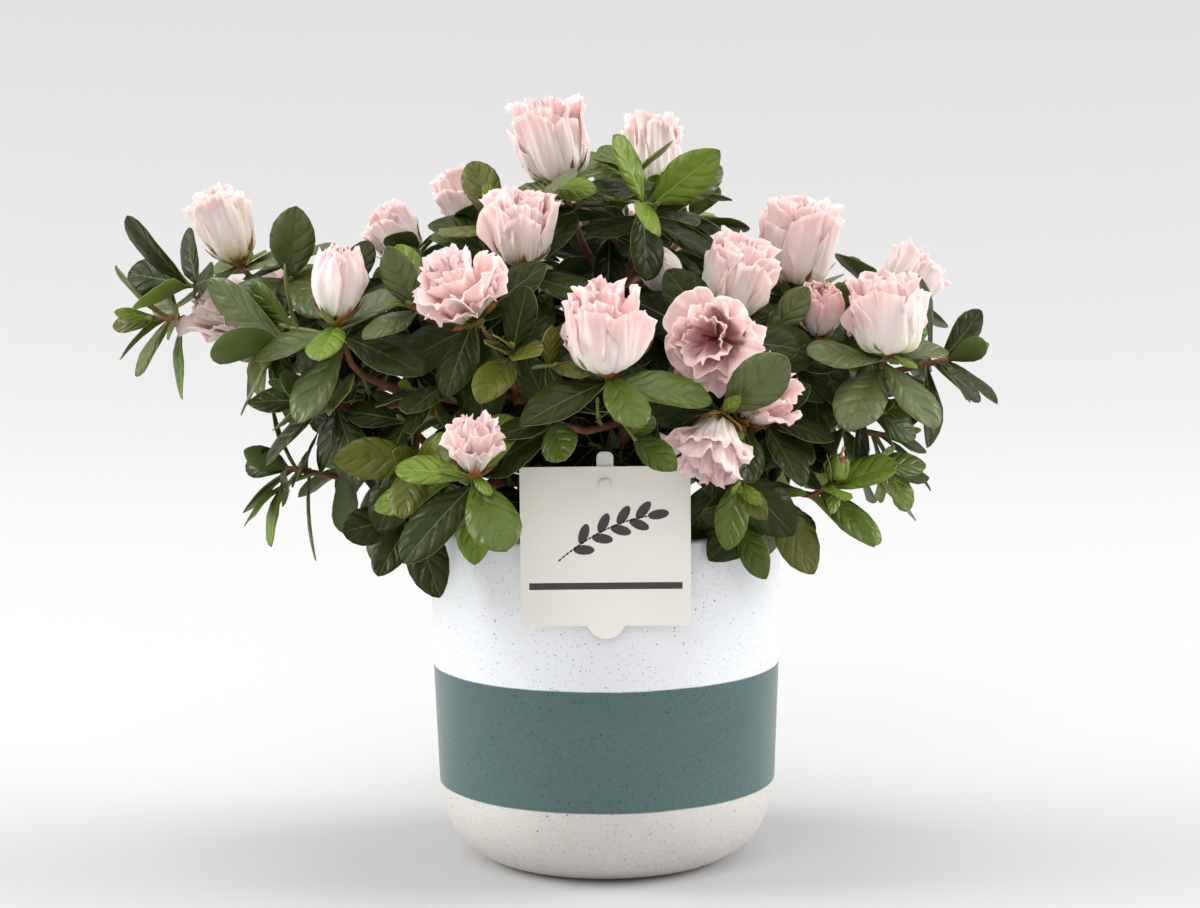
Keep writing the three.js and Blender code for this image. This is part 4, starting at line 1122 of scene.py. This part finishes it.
def petal(shape, bell, ring, order, draw, tone):
    t, s, level = shape["points"].T
    radius, length, loose = bell["radius"] * petalForm["slim"], bell["length"], bell["loose"]
    phases = [draw() * 6.28 for k in range(8)]
    teeth = petalForm["tooth"] * waves(s, petalWaves["teeth"], phases)
    point = petalForm["point"] * draw() * loose * np.maximum(0, 1 - np.abs(s - 0.5 * (draw() - 0.5)) * 1.8)
    reach = 1 - petalForm["shoulder"] * s ** 2 - petalForm["round"] * s ** 4 + point + teeth
    spot = t * reach * between(ring["tall"], draw)
    wide = 0.42 + 0.58 * np.sin(np.pi / 2 * np.clip(t / 0.5, 0, 1))
    half = np.radians(ring["half"]) * (0.82 + 0.36 * draw())
    stray = (draw() - 0.5) * 0.5 * loose
    turn = math.tau * order / ring["count"] + ring["turn"] + stray + half * s * wide
    swell = 1 + petalForm["uneven"] * (draw() * 2 - 1.2) * loose
    late = np.clip(t - 0.6, 0, 1) * 2.5
    flare = petalForm["flare"] * draw() ** 2 + petalForm["corner"] * draw() ** 2 * np.abs(s) ** 1.6
    lean = petalForm["lean"] * (draw() * 2 - 1.1) * max(0, loose - 0.7) * t
    profile = smoothCurve(ring["path"], spot)
    out = profile[:, 0] * swell * (1 + lean + bell["funnel"] * (2 * spot - 1.2)) + flare * loose * late ** 1.4
    up = profile[:, 1] + np.maximum(0, spot - 1) * 0.8
    rise = np.sin(np.pi * np.clip(t, 0, 1) * 0.86) ** 0.6
    ribs = sum((share - loss * t) * np.cos(s * count + phase + t * slant)
               for (count, slant, share, loss), phase in zip(petalWaves["ribs"], phases[2:5]))
    frill = (0.75 + 0.3 * loose) * min(1, radius / 14) * t ** 3.2
    ruffle = petalForm["ruffle"] * frill * waves(s, petalWaves["ruffle"], (phases[7], *phases))
    lap = ring["lap"] * radius * s * (0.3 + 0.7 * t) * rise
    away = petalFolds(t, s, rise, ribs, radius, loose, phases) + ruffle + lap + level * petalForm["thick"]
    ways = curveWays(ring["path"], spot, (radius, length))
    out = out * radius + away * ways[:, 1]
    up = up * length - away * ways[:, 0] + 0.5 * ruffle * np.cos(s * 5 + phases[1])
    across = bell["first"] * np.cos(turn)[:, None] + bell["second"] * np.sin(turn)[:, None]
    points = (bell["base"] + across * np.maximum(out, 0.3)[:, None] + bell["axis"] * up[:, None]
              + vec(ring["aside"]) * (t * radius)[:, None])
    blush = 0.16 * (draw() - 0.5)
    # painted light: the inner faces, and the outer faces of the inner rings, grow lighter towards the base,
    # where the bloom's heart lies in shade
    inside = petalForm["inside"] * (1 - spot) * np.where(level < 0, 1, ring["deep"])
    # ridges and valleys of the folds take different tints, most near the petal's base: partly the petal's own
    # streaks, partly painted shade in the folds
    shade = (0.25 * (1 - t) - 0.05) * ribs * rise
    value = spot * (0.86 + 0.32 * tone) + blush + shade + inside + 0.08 * t ** 6
    kinds = np.where(shape["kinds"] == 3, bloomKinds["inside"], bloomKinds["outside"])
    return placed(shape, points, kinds, np.stack([s, t], axis=1), value)


def scaleLeaf(shape, bell, turn, long, wide, kind, spread):  # a scale or bract pressed to a bloom's base
    t, s, level = shape["points"].T
    path = ((0.1, -0.05), (0.34, 0.02), (0.34 + 0.3 * spread, 0.09), (0.34 + 0.5 * spread, 0.2))
    spot = smoothCurve(path, t * (1 - 0.25 * s ** 2))
    half = wide * np.sin(np.pi * np.clip(t * 0.9 + 0.1, 0, 1)) ** 0.7
    across = turned(bell["first"], bell["second"], turn)
    out = spot[:, 0] * bell["radius"] + 0.5 + level * 0.3 - 0.12 * wide * s ** 2
    up = spot[:, 1] * long / 0.26
    points = (bell["base"] + across * out[:, None] + bell["axis"] * up[:, None]
              + np.cross(bell["axis"], across) * (s * half)[:, None])
    kinds = np.full(len(shape["counts"]), bloomKinds[kind])
    return placed(shape, points, kinds, np.stack([s, t], axis=1))


def petalMaterial(face):
    made, shader = newMaterial("petal " + face, (250, 220, 216), Roughness=0.6, Specular_IOR_Level=0.25,
                               Subsurface_Weight=0.35, Subsurface_Scale=1.0,
                               Subsurface_Radius=(0.004, 0.0024, 0.002))
    fade = addNode(made, "Attribute", attribute_name="fade").outputs["Fac"]
    patches = calculate(made, "MULTIPLY_ADD", noise(made, 120, 3), 0.16, -0.08)
    ramp = addNode(made, "ValToRGB", {"Fac": calculate(made, "ADD", fade, patches)})
    stops = petalStops[face]
    while len(ramp.color_ramp.elements) < len(stops):
        ramp.color_ramp.elements.new(0.5)
    for element, (spot, color) in zip(ramp.color_ramp.elements, stops):
        element.position = spot
        element.color = tint(*color)
    link(made, ramp.outputs[0], shader.inputs["Base Color"])
    lines = noise(made, 2.2, 3.0, stretch=(9, 1.2, 1), place=mapPlace(made))
    bump(made, shader, calculate(made, "MULTIPLY_ADD", noise(made, 260, 3), 0.7, lines), 0.28)
    return made


def smallPartMaterial(name):
    color, rough = smallParts[name]
    made, shader = newMaterial(name, color, Roughness=rough)
    mottle(made, shader, noise(made, 260, 2), [c * 0.82 for c in color], color)
    bump(made, shader, noise(made, 800, 2), 0.08)
    return made


def bellFrame(shoot):
    axis = unit(shoot["axis"] + vec((0, 0, bloomLifts.get(shoot["index"], 0))))
    first, second = sides(axis)
    return dict(base=shoot["foot"] + shoot["axis"] * 0.4, axis=axis, first=first, second=second, funnel=0,
                loose=looseness[shoot["form"]], radius=shoot["width"] / 2,
                length=lengthOf(shoot["far"] - shoot["foot"]))


def stamenPart(bell, draw, threadShape):
    turn, lean = draw() * 6.28, 0.1 + 0.16 * draw()
    way = bell["axis"] + turned(bell["first"], bell["second"], turn) * lean
    tip = bell["base"] + way * bell["length"] * (0.66 + 0.14 * draw())
    path = [bell["base"] + bell["axis"] * 2, (bell["base"] + tip) / 2 + bell["axis"], tip]
    return tube(threadShape, path, (0.25, 0.25, 0.25, 0.6, 0.3), kind=bloomKinds["stamen"])


def bloomParts(shoot, shapes):
    draw = sequence(seeds["blooms"] + shoot["index"]).__next__
    bell = bellFrame(shoot)
    tone = petalTones.get(shoot["index"], (draw() - 0.5) * 0.3)
    bell["funnel"] = petalForm["funnel"] * (draw() - 0.35)
    stamens = shoot["form"] == "open" and (shoot["index"] in stamenBlooms or shoot["foot"][1] > 0)
    shift = petalForm["shift"] * (bell["loose"] > 1)
    parts = []
    for k, ring in enumerate(bloomForms[shoot["form"]][:3 if stamens else 4]):
        aside = turned(bell["first"], bell["second"], draw() * math.tau) * (shift * k)
        # the inner rings' outer faces take part of the painted light at the base
        ring = dict(ring, turn=k * 0.7 + draw() * 1.2, aside=aside, deep=petalForm["deep"] * (k > 0))
        shape = shapes["large" if k < 2 else "small"]
        parts += [petal(shape, bell, ring, j, draw, tone) for j in range(ring["count"])]
    for j in range(6):
        turn, kind = j * 1.05 + draw() * 0.6, "bract" if j > 4 else "scale"
        parts.append(scaleLeaf(shapes["scale"], bell, turn, 8 + 7 * draw(), 2.5, kind, 1.0))
    for j in range(3):
        turn = j * 2.1 + 0.6 + draw()
        parts.append(scaleLeaf(shapes["scale"], bell, turn, 5 + 3 * draw(), 2.2, "bract", 0.6))
    if stamens:
        parts += [stamenPart(bell, draw, shapes["thread"]) for j in range(7)]
    return parts


def spentParts(shoot, shapes):  # a bud that has dropped its petals
    bell = dict(bellFrame(shoot), radius=spentRadius)
    base, axis, length = bell["base"], bell["axis"], bell["length"]
    draw = sequence(seeds["blooms"] + shoot["index"]).__next__
    ring = bloomForms["spent"][0]
    parts = [petal(shapes["small"], bell, ring, j, draw, 0) for j in range(ring["count"])]
    parts = [dict(part, kinds=np.full(len(part["kinds"]), bloomKinds["bract"])) for part in parts]
    for j in range(5):
        kind = "bract" if j else "scale"
        parts.append(scaleLeaf(shapes["scale"], bell, j * 1.3, 6 + 3 * draw(), 1.2, kind, 1.6))
    for j in range(2):
        way = unit(axis + turned(bell["first"], bell["second"], 0.6 + j * 2.4) * 0.5)
        start = base + axis * length * 0.4
        path = [start, start + way * 3, start + way * 5.5]
        parts.append(tube(shapes["thread"], path, (0.8, 1.4, 1.7, 1.3, 0.4), kind=bloomKinds["spentTip"]))
    bend = base + axis * length * 0.6 - bell["first"]
    style = curvePoints(base + axis * 5, bend, base + axis * length + bell["first"] * 1.2, 8)
    parts.append(tube(shapes["thread"], style, (0.5, 0.4, 0.45, 0.7), kind=bloomKinds["style"]))
    return parts


def makeBlooms():
    made = [petalMaterial("outside")] + [smallPartMaterial(name) for name in smallParts]
    # the inner faces' material: the heart's own pink, with painted shade
    made.append(petalMaterial("inside"))
    shapes = dict(large=sheetShape(evenShares(petalForm["rows"]), evenShares(petalForm["columns"], -1)),
                  small=sheetShape(evenShares(petalForm["fewRows"]), evenShares(petalForm["fewColumns"], -1)),
                  scale=sheetShape(evenShares(5), evenShares(4, -1)), thread=tubeShape(6, 8))
    count = 0
    for name in plan:
        parts = []
        for shoot in shoots:
            if shoot["mass"] == name and shoot["width"]:
                parts += (spentParts if shoot["form"] == "spent" else bloomParts)(shoot, shapes)
                count += 1
        if parts:
            joinedPiece("blooms_" + name, parts, made, ["mass_" + name])
    print("blooms:", count)


makeBlooms()

# Pot: a spun glazed wall in three bands, each made by height
potLook = dict(white=((222, 225, 229), (230, 232, 235)), green=((64, 91, 89), (79, 107, 105)),
               sand=((197, 193, 187), (210, 207, 202)), fleck=(44, 42, 38), steps=128, waver=0.35,
               edges=(0.25, 0.3), greenFlecks=0.5, roughness=(0.34, 0.78),
               flecks=((260.0, 0.11, 0.95, 0.75), (420.0, 0.12, 0.88, 0.75), (640.0, 0.15, 0.86, 0.6),
                       (900.0, 0.2, 0.9, 0.5)))


def spun(outline, steps):  # a closed body turned from its outline of radii and heights
    bm = bmesh.new()
    spots = [bm.verts.new((x * mm, 0, z * mm)) for x, z in outline]
    edges = [bm.edges.new(pair) for pair in zip(spots[:-1], spots[1:])]
    bmesh.ops.spin(bm, geom=spots + edges, cent=(0, 0, 0), axis=(0, 0, 1), angle=math.tau, steps=steps,
                   use_merge=True)
    bmesh.ops.remove_doubles(bm, verts=bm.verts[:], dist=1e-6)
    bmesh.ops.recalc_face_normals(bm, faces=bm.faces[:])
    return bm


def straightLine(start, end, steps):
    return [(start[0] + (end[0] - start[0]) * k / steps, start[1] + (end[1] - start[1]) * k / steps)
            for k in range(1, steps + 1)]


def quarterTurns(steps):  # sine and cosine along a rounded corner
    angles = [math.pi / 2 * k / steps for k in range(steps + 1)]
    return [(math.sin(angle), math.cos(angle)) for angle in angles]


def potOutline():
    foot, shoulder, waist, lip, wall = (potSize[key] for key in ("foot", "shoulder", "waist", "lip", "wall"))
    rim, height, floor = (potSize[key] for key in ("rim", "height", "floor"))
    base = [(foot + (shoulder[0] - foot) * sine, shoulder[1] * (1 - cosine))
            for sine, cosine in quarterTurns(16)]
    side = straightLine(shoulder, waist, 6) + straightLine(waist, (rim, height - lip), 6)
    edge = [(rim - lip * (1 - cosine), height - lip * (1 - sine)) for sine, cosine in quarterTurns(5)[1:]]
    throat = [(rim - wall + 1.2, height), (rim - wall + 0.35, height - 0.4), (rim - wall, height - 1.3),
              (rim - wall, height - potSize["throat"])]
    inside = [(waist[0] - wall, waist[1]), (shoulder[0] - wall - 0.4, shoulder[1] + 4), (56, 17), (35, floor)]
    return [(0, 0)] + base + side + edge + throat + inside + [(0, floor)]


def glazeColor(made, upper, lower):  # white above, green between and bare sand below, with flecks
    soft = calculate(made, "ADD", spanned(made, noise(made, 14, 3), 0.3, 0.7, 0, 0.5),
                     spanned(made, noise(made, 620, 4, 0.7), 0.3, 0.7, 0, 0.5))
    inGreen = calculate(made, "SUBTRACT", calculate(made, "SUBTRACT", 1, upper), lower, clamp=True)
    white, green, sand = (mixColors(made, soft, *(tint(*color) for color in potLook[band]))
                          for band in ("white", "green", "sand"))
    color = mixColors(made, lower, mixColors(made, upper, green, white), sand)
    for scale, size, share, depth in potLook["flecks"]:
        cells = addNode(made, "TexVoronoi", {"Vector": objectPlace(made), "Scale": scale})
        chance = addNode(made, "SeparateColor", {0: cells.outputs["Color"]}).outputs[0]
        chance = calculate(made, "MULTIPLY", chance, 0.6)
        chance = calculate(made, "MULTIPLY_ADD", noise(made, 25 + scale / 20, 2), 0.9, chance)
        chance = calculate(made, "MULTIPLY_ADD", inGreen, potLook["greenFlecks"], chance)
        where = calculate(made, "GREATER_THAN", chance, share)
        near = calculate(made, "LESS_THAN", cells.outputs["Distance"], size)
        flecks = calculate(made, "MULTIPLY", calculate(made, "MULTIPLY", near, where), depth)
        color = mixColors(made, flecks, color, tint(*potLook["fleck"]))
    return color


def makePot():
    mesh = meshOf(spun(potOutline(), potLook["steps"]), "glazed_pot")
    made, shader = newMaterial("pot glaze", potLook["white"][0], Specular_IOR_Level=0.5)
    height = addNode(made, "SeparateXYZ", {0: objectPlace(made)}).outputs[2]
    sway = potLook["waver"] * mm
    waver = calculate(made, "MULTIPLY_ADD", noise(made, 40, 3), sway * 2, -sway)
    level = calculate(made, "ADD", height, waver)
    (high, soft), (low, rough) = zip((potSize["waist"][1], potSize["shoulder"][1]), potLook["edges"])
    upper = spanned(made, level, (high - soft) * mm, (high + soft) * mm, 0, 1)
    lower = spanned(made, level, (low - rough) * mm, (low + rough) * mm, 1, 0)
    link(made, glazeColor(made, upper, lower), shader.inputs["Base Color"])
    link(made, spanned(made, lower, 0, 1, *potLook["roughness"]), shader.inputs["Roughness"])
    grain = calculate(made, "MULTIPLY", noise(made, 900, 3), calculate(made, "MULTIPLY_ADD", lower, 0.8, 0.2))
    bump(made, shader, calculate(made, "MULTIPLY_ADD", noise(made, 30, 2), 0.6, grain), 0.2)
    finishedPiece("glazed_pot", mesh, [made], ["pot"])
    print("pot:", len(mesh.polygons), "faces")


makePot()

# Compost: a spun disc with a rough top, and crumbs lying on it
compostLook = dict(rings=26, steps=90, rough=0.77, margin=0.5, ease=6, depth=(8, 12), crumbs=420,
                   crumb=(0.7, 2.0), squash=((0.7, 1.3), (0.7, 1.3), (0.5, 0.8)), proud=0.3)


def makeCompost():
    edge, top = potSize["rim"] - potSize["wall"] - compostSize["gap"], compostSize["top"]
    rings = [(edge * k / compostLook["rings"], top) for k in range(compostLook["rings"] + 1)]
    side, under = compostLook["depth"]
    bm = spun(rings + [(edge, top - side), (edge * 0.6, top - under), (0, top - under)], compostLook["steps"])
    for v in bm.verts:
        x, y = v.co.x / mm, v.co.y / mm
        inward = edge - math.hypot(x, y)
        if v.co.z > (top - 1) * mm and inward > compostLook["margin"]:
            wave = math.sin(x * 0.31 + math.sin(y * 0.23) * 2) + math.sin(y * 0.37 + math.sin(x * 0.29) * 2)
            v.co.z += compostLook["rough"] * wave * min(1, inward / compostLook["ease"]) * mm
    draw = sequence(seeds["crumbs"]).__next__
    for k in range(compostLook["crumbs"]):
        size = between(compostLook["crumb"], draw) * mm
        away, turn = edge * 0.95 * math.sqrt(draw()), draw() * math.tau
        made = bmesh.ops.create_icosphere(bm, subdivisions=1, radius=size)["verts"]
        squash = [between(span, draw) for span in compostLook["squash"]]
        bmesh.ops.scale(bm, vec=squash, verts=made)
        where = vec((away * math.cos(turn), away * math.sin(turn), top + compostLook["proud"])) * mm
        bmesh.ops.translate(bm, vec=where, verts=made)
    mesh = meshOf(bm, "crumbly_compost")
    made, shader = newMaterial("compost", (52, 38, 28), Roughness=0.95)
    mottle(made, shader, noise(made, 420, 4, 0.7), (34, 24, 18), (86, 66, 48))
    bump(made, shader, noise(made, 650, 4, 0.7), 0.8)
    finishedPiece("crumbly_compost", mesh, [made], ["compost"])
    print("compost:", len(mesh.polygons), "faces")


makeCompost()

# Card: a thin bowed sheet with a round tab and a dark rule across it, held by a clear pick
cardLook = dict(columns=26, rows=24, margin=0.8, bow=0.5, ripple=(0.25, 0.08), sheet=0.7,
                rule=dict(level=121.5, thick=2.6, reach=29), stock=((236, 233, 224), (242, 239, 232)),
                sprig=dict(foot=(-18, 131), far=(16, 148), rise=6, steps=24, pairs=4, leaf=(8.2, 1.9),
                           stem=0.4, tilt=38, ink=0.06))
pickLook = dict(round=0.35, crest=2.3)


def inkShape(bm, middle, way, share, wide, corners):  # a thin flat oval of ink on the card's face
    made = bmesh.ops.create_circle(bm, segments=corners, radius=1, cap_ends=True)["verts"]
    turn = Matrix.Rotation(-math.atan2(way[2], way[0]), 4, "Y") @ Matrix.Rotation(math.pi / 2, 4, "X")
    stretch = Matrix.Diagonal((lengthOf(way) * share, wide, 1, 1))
    bmesh.ops.transform(bm, matrix=Matrix.Translation(middle) @ turn @ stretch, verts=made)
    face = next(iter(made[0].link_faces))
    face.material_index = 1
    raised = bmesh.ops.extrude_face_region(bm, geom=[face], use_keep_orig=True)
    for item in raised["geom"]:
        if isinstance(item, bmesh.types.BMFace):
            item.material_index = 1
    for v in newVerts(raised):
        v.co.y -= cardLook["sprig"]["ink"]


def addSprig(bm):  # a plain sprig with leaves in pairs up to one at its tip
    sprig = cardLook["sprig"]
    foot, far = (vec((x, 0, z)) for x, z in (sprig["foot"], sprig["far"]))
    path = curvePoints(foot, (foot + far) / 2 + vec((0, 0, sprig["rise"])), far, sprig["steps"])
    for a, b in zip(path[:-1], path[1:]):
        inkShape(bm, (a + b) / 2, b - a, 0.6, sprig["stem"], 4)
    long, wide = sprig["leaf"]
    for k in range(sprig["pairs"] * 2 + 1):
        last = k == sprig["pairs"] * 2
        spot = sprig["steps"] - 1 if last else 4 + (k // 2) * 5 + (k % 2) * 2
        way = path[spot + 1] - path[spot]
        lean = math.radians(sprig["tilt"]) * (0 if last else 1 if k % 2 else -1)
        heading = unit(vec((way[0] * math.cos(lean) - way[2] * math.sin(lean), 0,
                            way[0] * math.sin(lean) + way[2] * math.cos(lean))))
        start = path[-1] if last else path[spot]
        inkShape(bm, start + heading * long / 2, heading * long, 0.5, wide, 12)


def cutAt(bm, place, normal):  # new edges where a plane crosses the sheet
    geom = bm.verts[:] + bm.edges[:] + bm.faces[:]
    bmesh.ops.bisect_plane(bm, geom=geom, plane_co=place, plane_no=normal)


def cardSheet():
    half, low, high = cardSize["wide"] / 2, cardSize["low"], cardSize["high"]
    rule, radius, drop = cardLook["rule"], cardSize["tabRadius"], cardSize["tabZ"]
    chord = math.sqrt(radius ** 2 - (drop - low) ** 2)
    bm = bmesh.new()
    bmesh.ops.create_grid(bm, x_segments=cardLook["columns"], y_segments=cardLook["rows"], size=0.5)
    for v in bm.verts:
        v.co = (v.co.x * cardSize["wide"], 0, low + (v.co.y + 0.5) * (high - low))
    for side in (-half + cardLook["margin"], half - cardLook["margin"]):
        cutAt(bm, (side, 0, 0), (1, 0, 0))
    for level in (rule["level"] - rule["thick"] / 2, rule["level"] + rule["thick"] / 2):
        cutAt(bm, (0, 0, level), (0, 0, 1))
    for side in (-rule["reach"], rule["reach"], -chord, chord):
        cutAt(bm, (side, 0, 0), (1, 0, 0))
    edges = [edge for edge in bm.edges
             if all(abs(v.co.z - low) < 1e-3 and abs(v.co.x) < chord + 1e-3 for v in edge.verts)]
    for v in newVerts(bmesh.ops.extrude_edge_only(bm, edges=edges)):
        v.co.z = drop - math.sqrt(max(0, radius ** 2 - v.co.x ** 2))
    bmesh.ops.remove_doubles(bm, verts=bm.verts[:], dist=1e-3)
    bmesh.ops.recalc_face_normals(bm, faces=bm.faces[:])
    if sum(face.normal.y for face in bm.faces) > 0:
        bmesh.ops.reverse_faces(bm, faces=bm.faces[:])
    for face in bm.faces:
        spot = face.calc_center_median()
        inked = abs(spot.z - rule["level"]) < rule["thick"] / 2 and abs(spot.x) < rule["reach"]
        face.material_index = int(inked)
    front = set(bm.faces)
    for v in newVerts(bmesh.ops.extrude_face_region(bm, geom=bm.faces[:], use_keep_orig=True)):
        v.co.y = cardSize["thick"] * cardLook["sheet"]
    for face in bm.faces:
        if face not in front:
            face.material_index = 0
    return bm


def makeCard():
    bm = cardSheet()
    addSprig(bm)
    bmesh.ops.recalc_face_normals(bm, faces=bm.faces[:])
    height, turns = cardLook["ripple"]
    for v in bm.verts:
        edge = v.co.x / (cardSize["wide"] / 2)
        bow = cardLook["bow"] * (edge ** 2 - 0.2) + height * math.sin(v.co.z * turns)
        v.co.y += cardSize["back"] - cardSize["thick"] - max(0, bow)
        v.co *= mm
    mesh = meshOf(bm, "plant_card", smooth=False)
    stock, shader = newMaterial("card stock", cardLook["stock"][0], Roughness=0.5, Specular_IOR_Level=0.35)
    mottle(stock, shader, noise(stock, 30, 2), *cardLook["stock"], spread=0.2)
    bump(stock, shader, noise(stock, 1400, 2), 0.03)
    ink, shader = newMaterial("dark ink", (58, 56, 54), Roughness=0.5)
    bump(ink, shader, noise(ink, 1400, 2), 0.03)
    finishedPiece("plant_card", mesh, [stock, ink], ["card"])


def rounded(bm, edges, offset, segments):
    bmesh.ops.bevel(bm, geom=edges, offset=offset * mm, offset_type="OFFSET", segments=segments, profile=0.5,
                    affect="EDGES", material=-1, clamp_overlap=True)


def makePick():  # the solid's own shape, with its head and its edges rounded
    bm = bmesh.new()
    bm.from_mesh(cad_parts["pick"].data)
    bmesh.ops.remove_doubles(bm, verts=bm.verts[:], dist=1e-6)
    bmesh.ops.dissolve_limit(bm, angle_limit=math.radians(2), verts=bm.verts[:], edges=bm.edges[:])
    top, deep = (pickSize["top"] - 0.2) * mm, pickSize["thick"] * 0.6 * mm
    crest = [edge for edge in bm.edges if all(v.co.z > top for v in edge.verts)
             and abs(edge.verts[0].co.y - edge.verts[1].co.y) > deep]
    rounded(bm, crest, pickLook["crest"], 5)
    sharp = [edge for edge in bm.edges
             if len(edge.link_faces) == 2 and edge.calc_face_angle() > math.radians(50)]
    rounded(bm, sharp, pickLook["round"], 2)
    bmesh.ops.recalc_face_normals(bm, faces=bm.faces[:])
    mesh = meshOf(bm, "plastic_pick")
    milky, shader = newMaterial("milky plastic", (240, 240, 236), Roughness=0.3, IOR=1.46,
                                Transmission_Weight=0.1)
    bump(milky, shader, noise(milky, 300, 2), 0.05)
    finishedPiece("plastic_pick", mesh, [milky], ["pick"])


makeCard()
makePick()
print("card and pick ready")

# Studio: a pale floor that sweeps up at the back, soft boxes all round, and the photo's camera
studio = dict(floor=(200, 199, 199), world=0.7, reach=20.0, back=1.6, bend=3.8, aim=(0, 0, 0.17),
              boxes=(("left box", (-4.0, 0.3, 1.8), 2.4, 160.0), ("right box", (4.0, 0.3, 1.8), 2.4, 150.0),
                     ("top box", (0.1, 0.2, 3.2), 2.8, 47.0), ("front box", (-0.9, -2.6, 2.6), 2.0, 26.0)))
cameraPlace = dict(at=(-1.8, -1100, 290.6), pitch=83.4, roll=-0.5, lens=82.5, sensor=36, clip=30)


def linked(name, data):
    made = bpy.data.objects.new(name, data)
    bpy.context.scene.collection.objects.link(made)
    return made


def makeFloor():
    bm = bmesh.new()
    far, back, bend = (studio[key] for key in ("reach", "back", "bend"))
    turns = [math.radians(a) for a in range(4, 85, 4)]
    spots = [(-far, 0), (back, 0)] + [(back + bend * math.sin(a), bend * (1 - math.cos(a))) for a in turns]
    verts = [bm.verts.new((-far, y, z)) for y, z in spots]
    edges = [bm.edges.new(pair) for pair in zip(verts[:-1], verts[1:])]
    made = bmesh.ops.extrude_edge_only(bm, edges=edges)
    bmesh.ops.translate(bm, vec=(far * 2, 0, 0), verts=newVerts(made))
    floor = linked("floor", meshOf(bm, "floor"))
    paint = newMaterial("pale floor", studio["floor"], Roughness=0.9, Specular_IOR_Level=0.0)[0]
    floor.data.materials.append(paint)


def makeLights():
    world = bpy.data.worlds.new("studio")
    world.use_nodes = True
    background = world.node_tree.nodes["Background"]
    background.inputs[0].default_value = (1, 1, 1, 1)
    background.inputs[1].default_value = studio["world"]
    bpy.context.scene.world = world
    for name, place, size, power in studio["boxes"]:
        data = bpy.data.lights.new(name, "AREA")
        data.shape = "SQUARE"
        data.size = size
        data.energy = power
        lamp = linked(name, data)
        lamp.location = place
        lamp.rotation_euler = (Vector(studio["aim"]) - Vector(place)).to_track_quat("-Z", "Y").to_euler()


def makeCamera():
    data = bpy.data.cameras.new("camera")
    data.lens = cameraPlace["lens"]
    data.sensor_width = cameraPlace["sensor"]
    data.clip_end = cameraPlace["clip"]
    camera = linked("camera", data)
    camera.location = [c * mm for c in cameraPlace["at"]]
    pitch = Matrix.Rotation(math.radians(cameraPlace["pitch"]), 4, "X")
    roll = Matrix.Rotation(math.radians(cameraPlace["roll"]), 4, "Z")
    camera.rotation_euler = (pitch @ roll).to_euler()
    bpy.context.scene.camera = camera
    bpy.context.scene.view_settings.view_transform = "Standard"


makeFloor()
makeLights()
makeCamera()
print("studio ready")
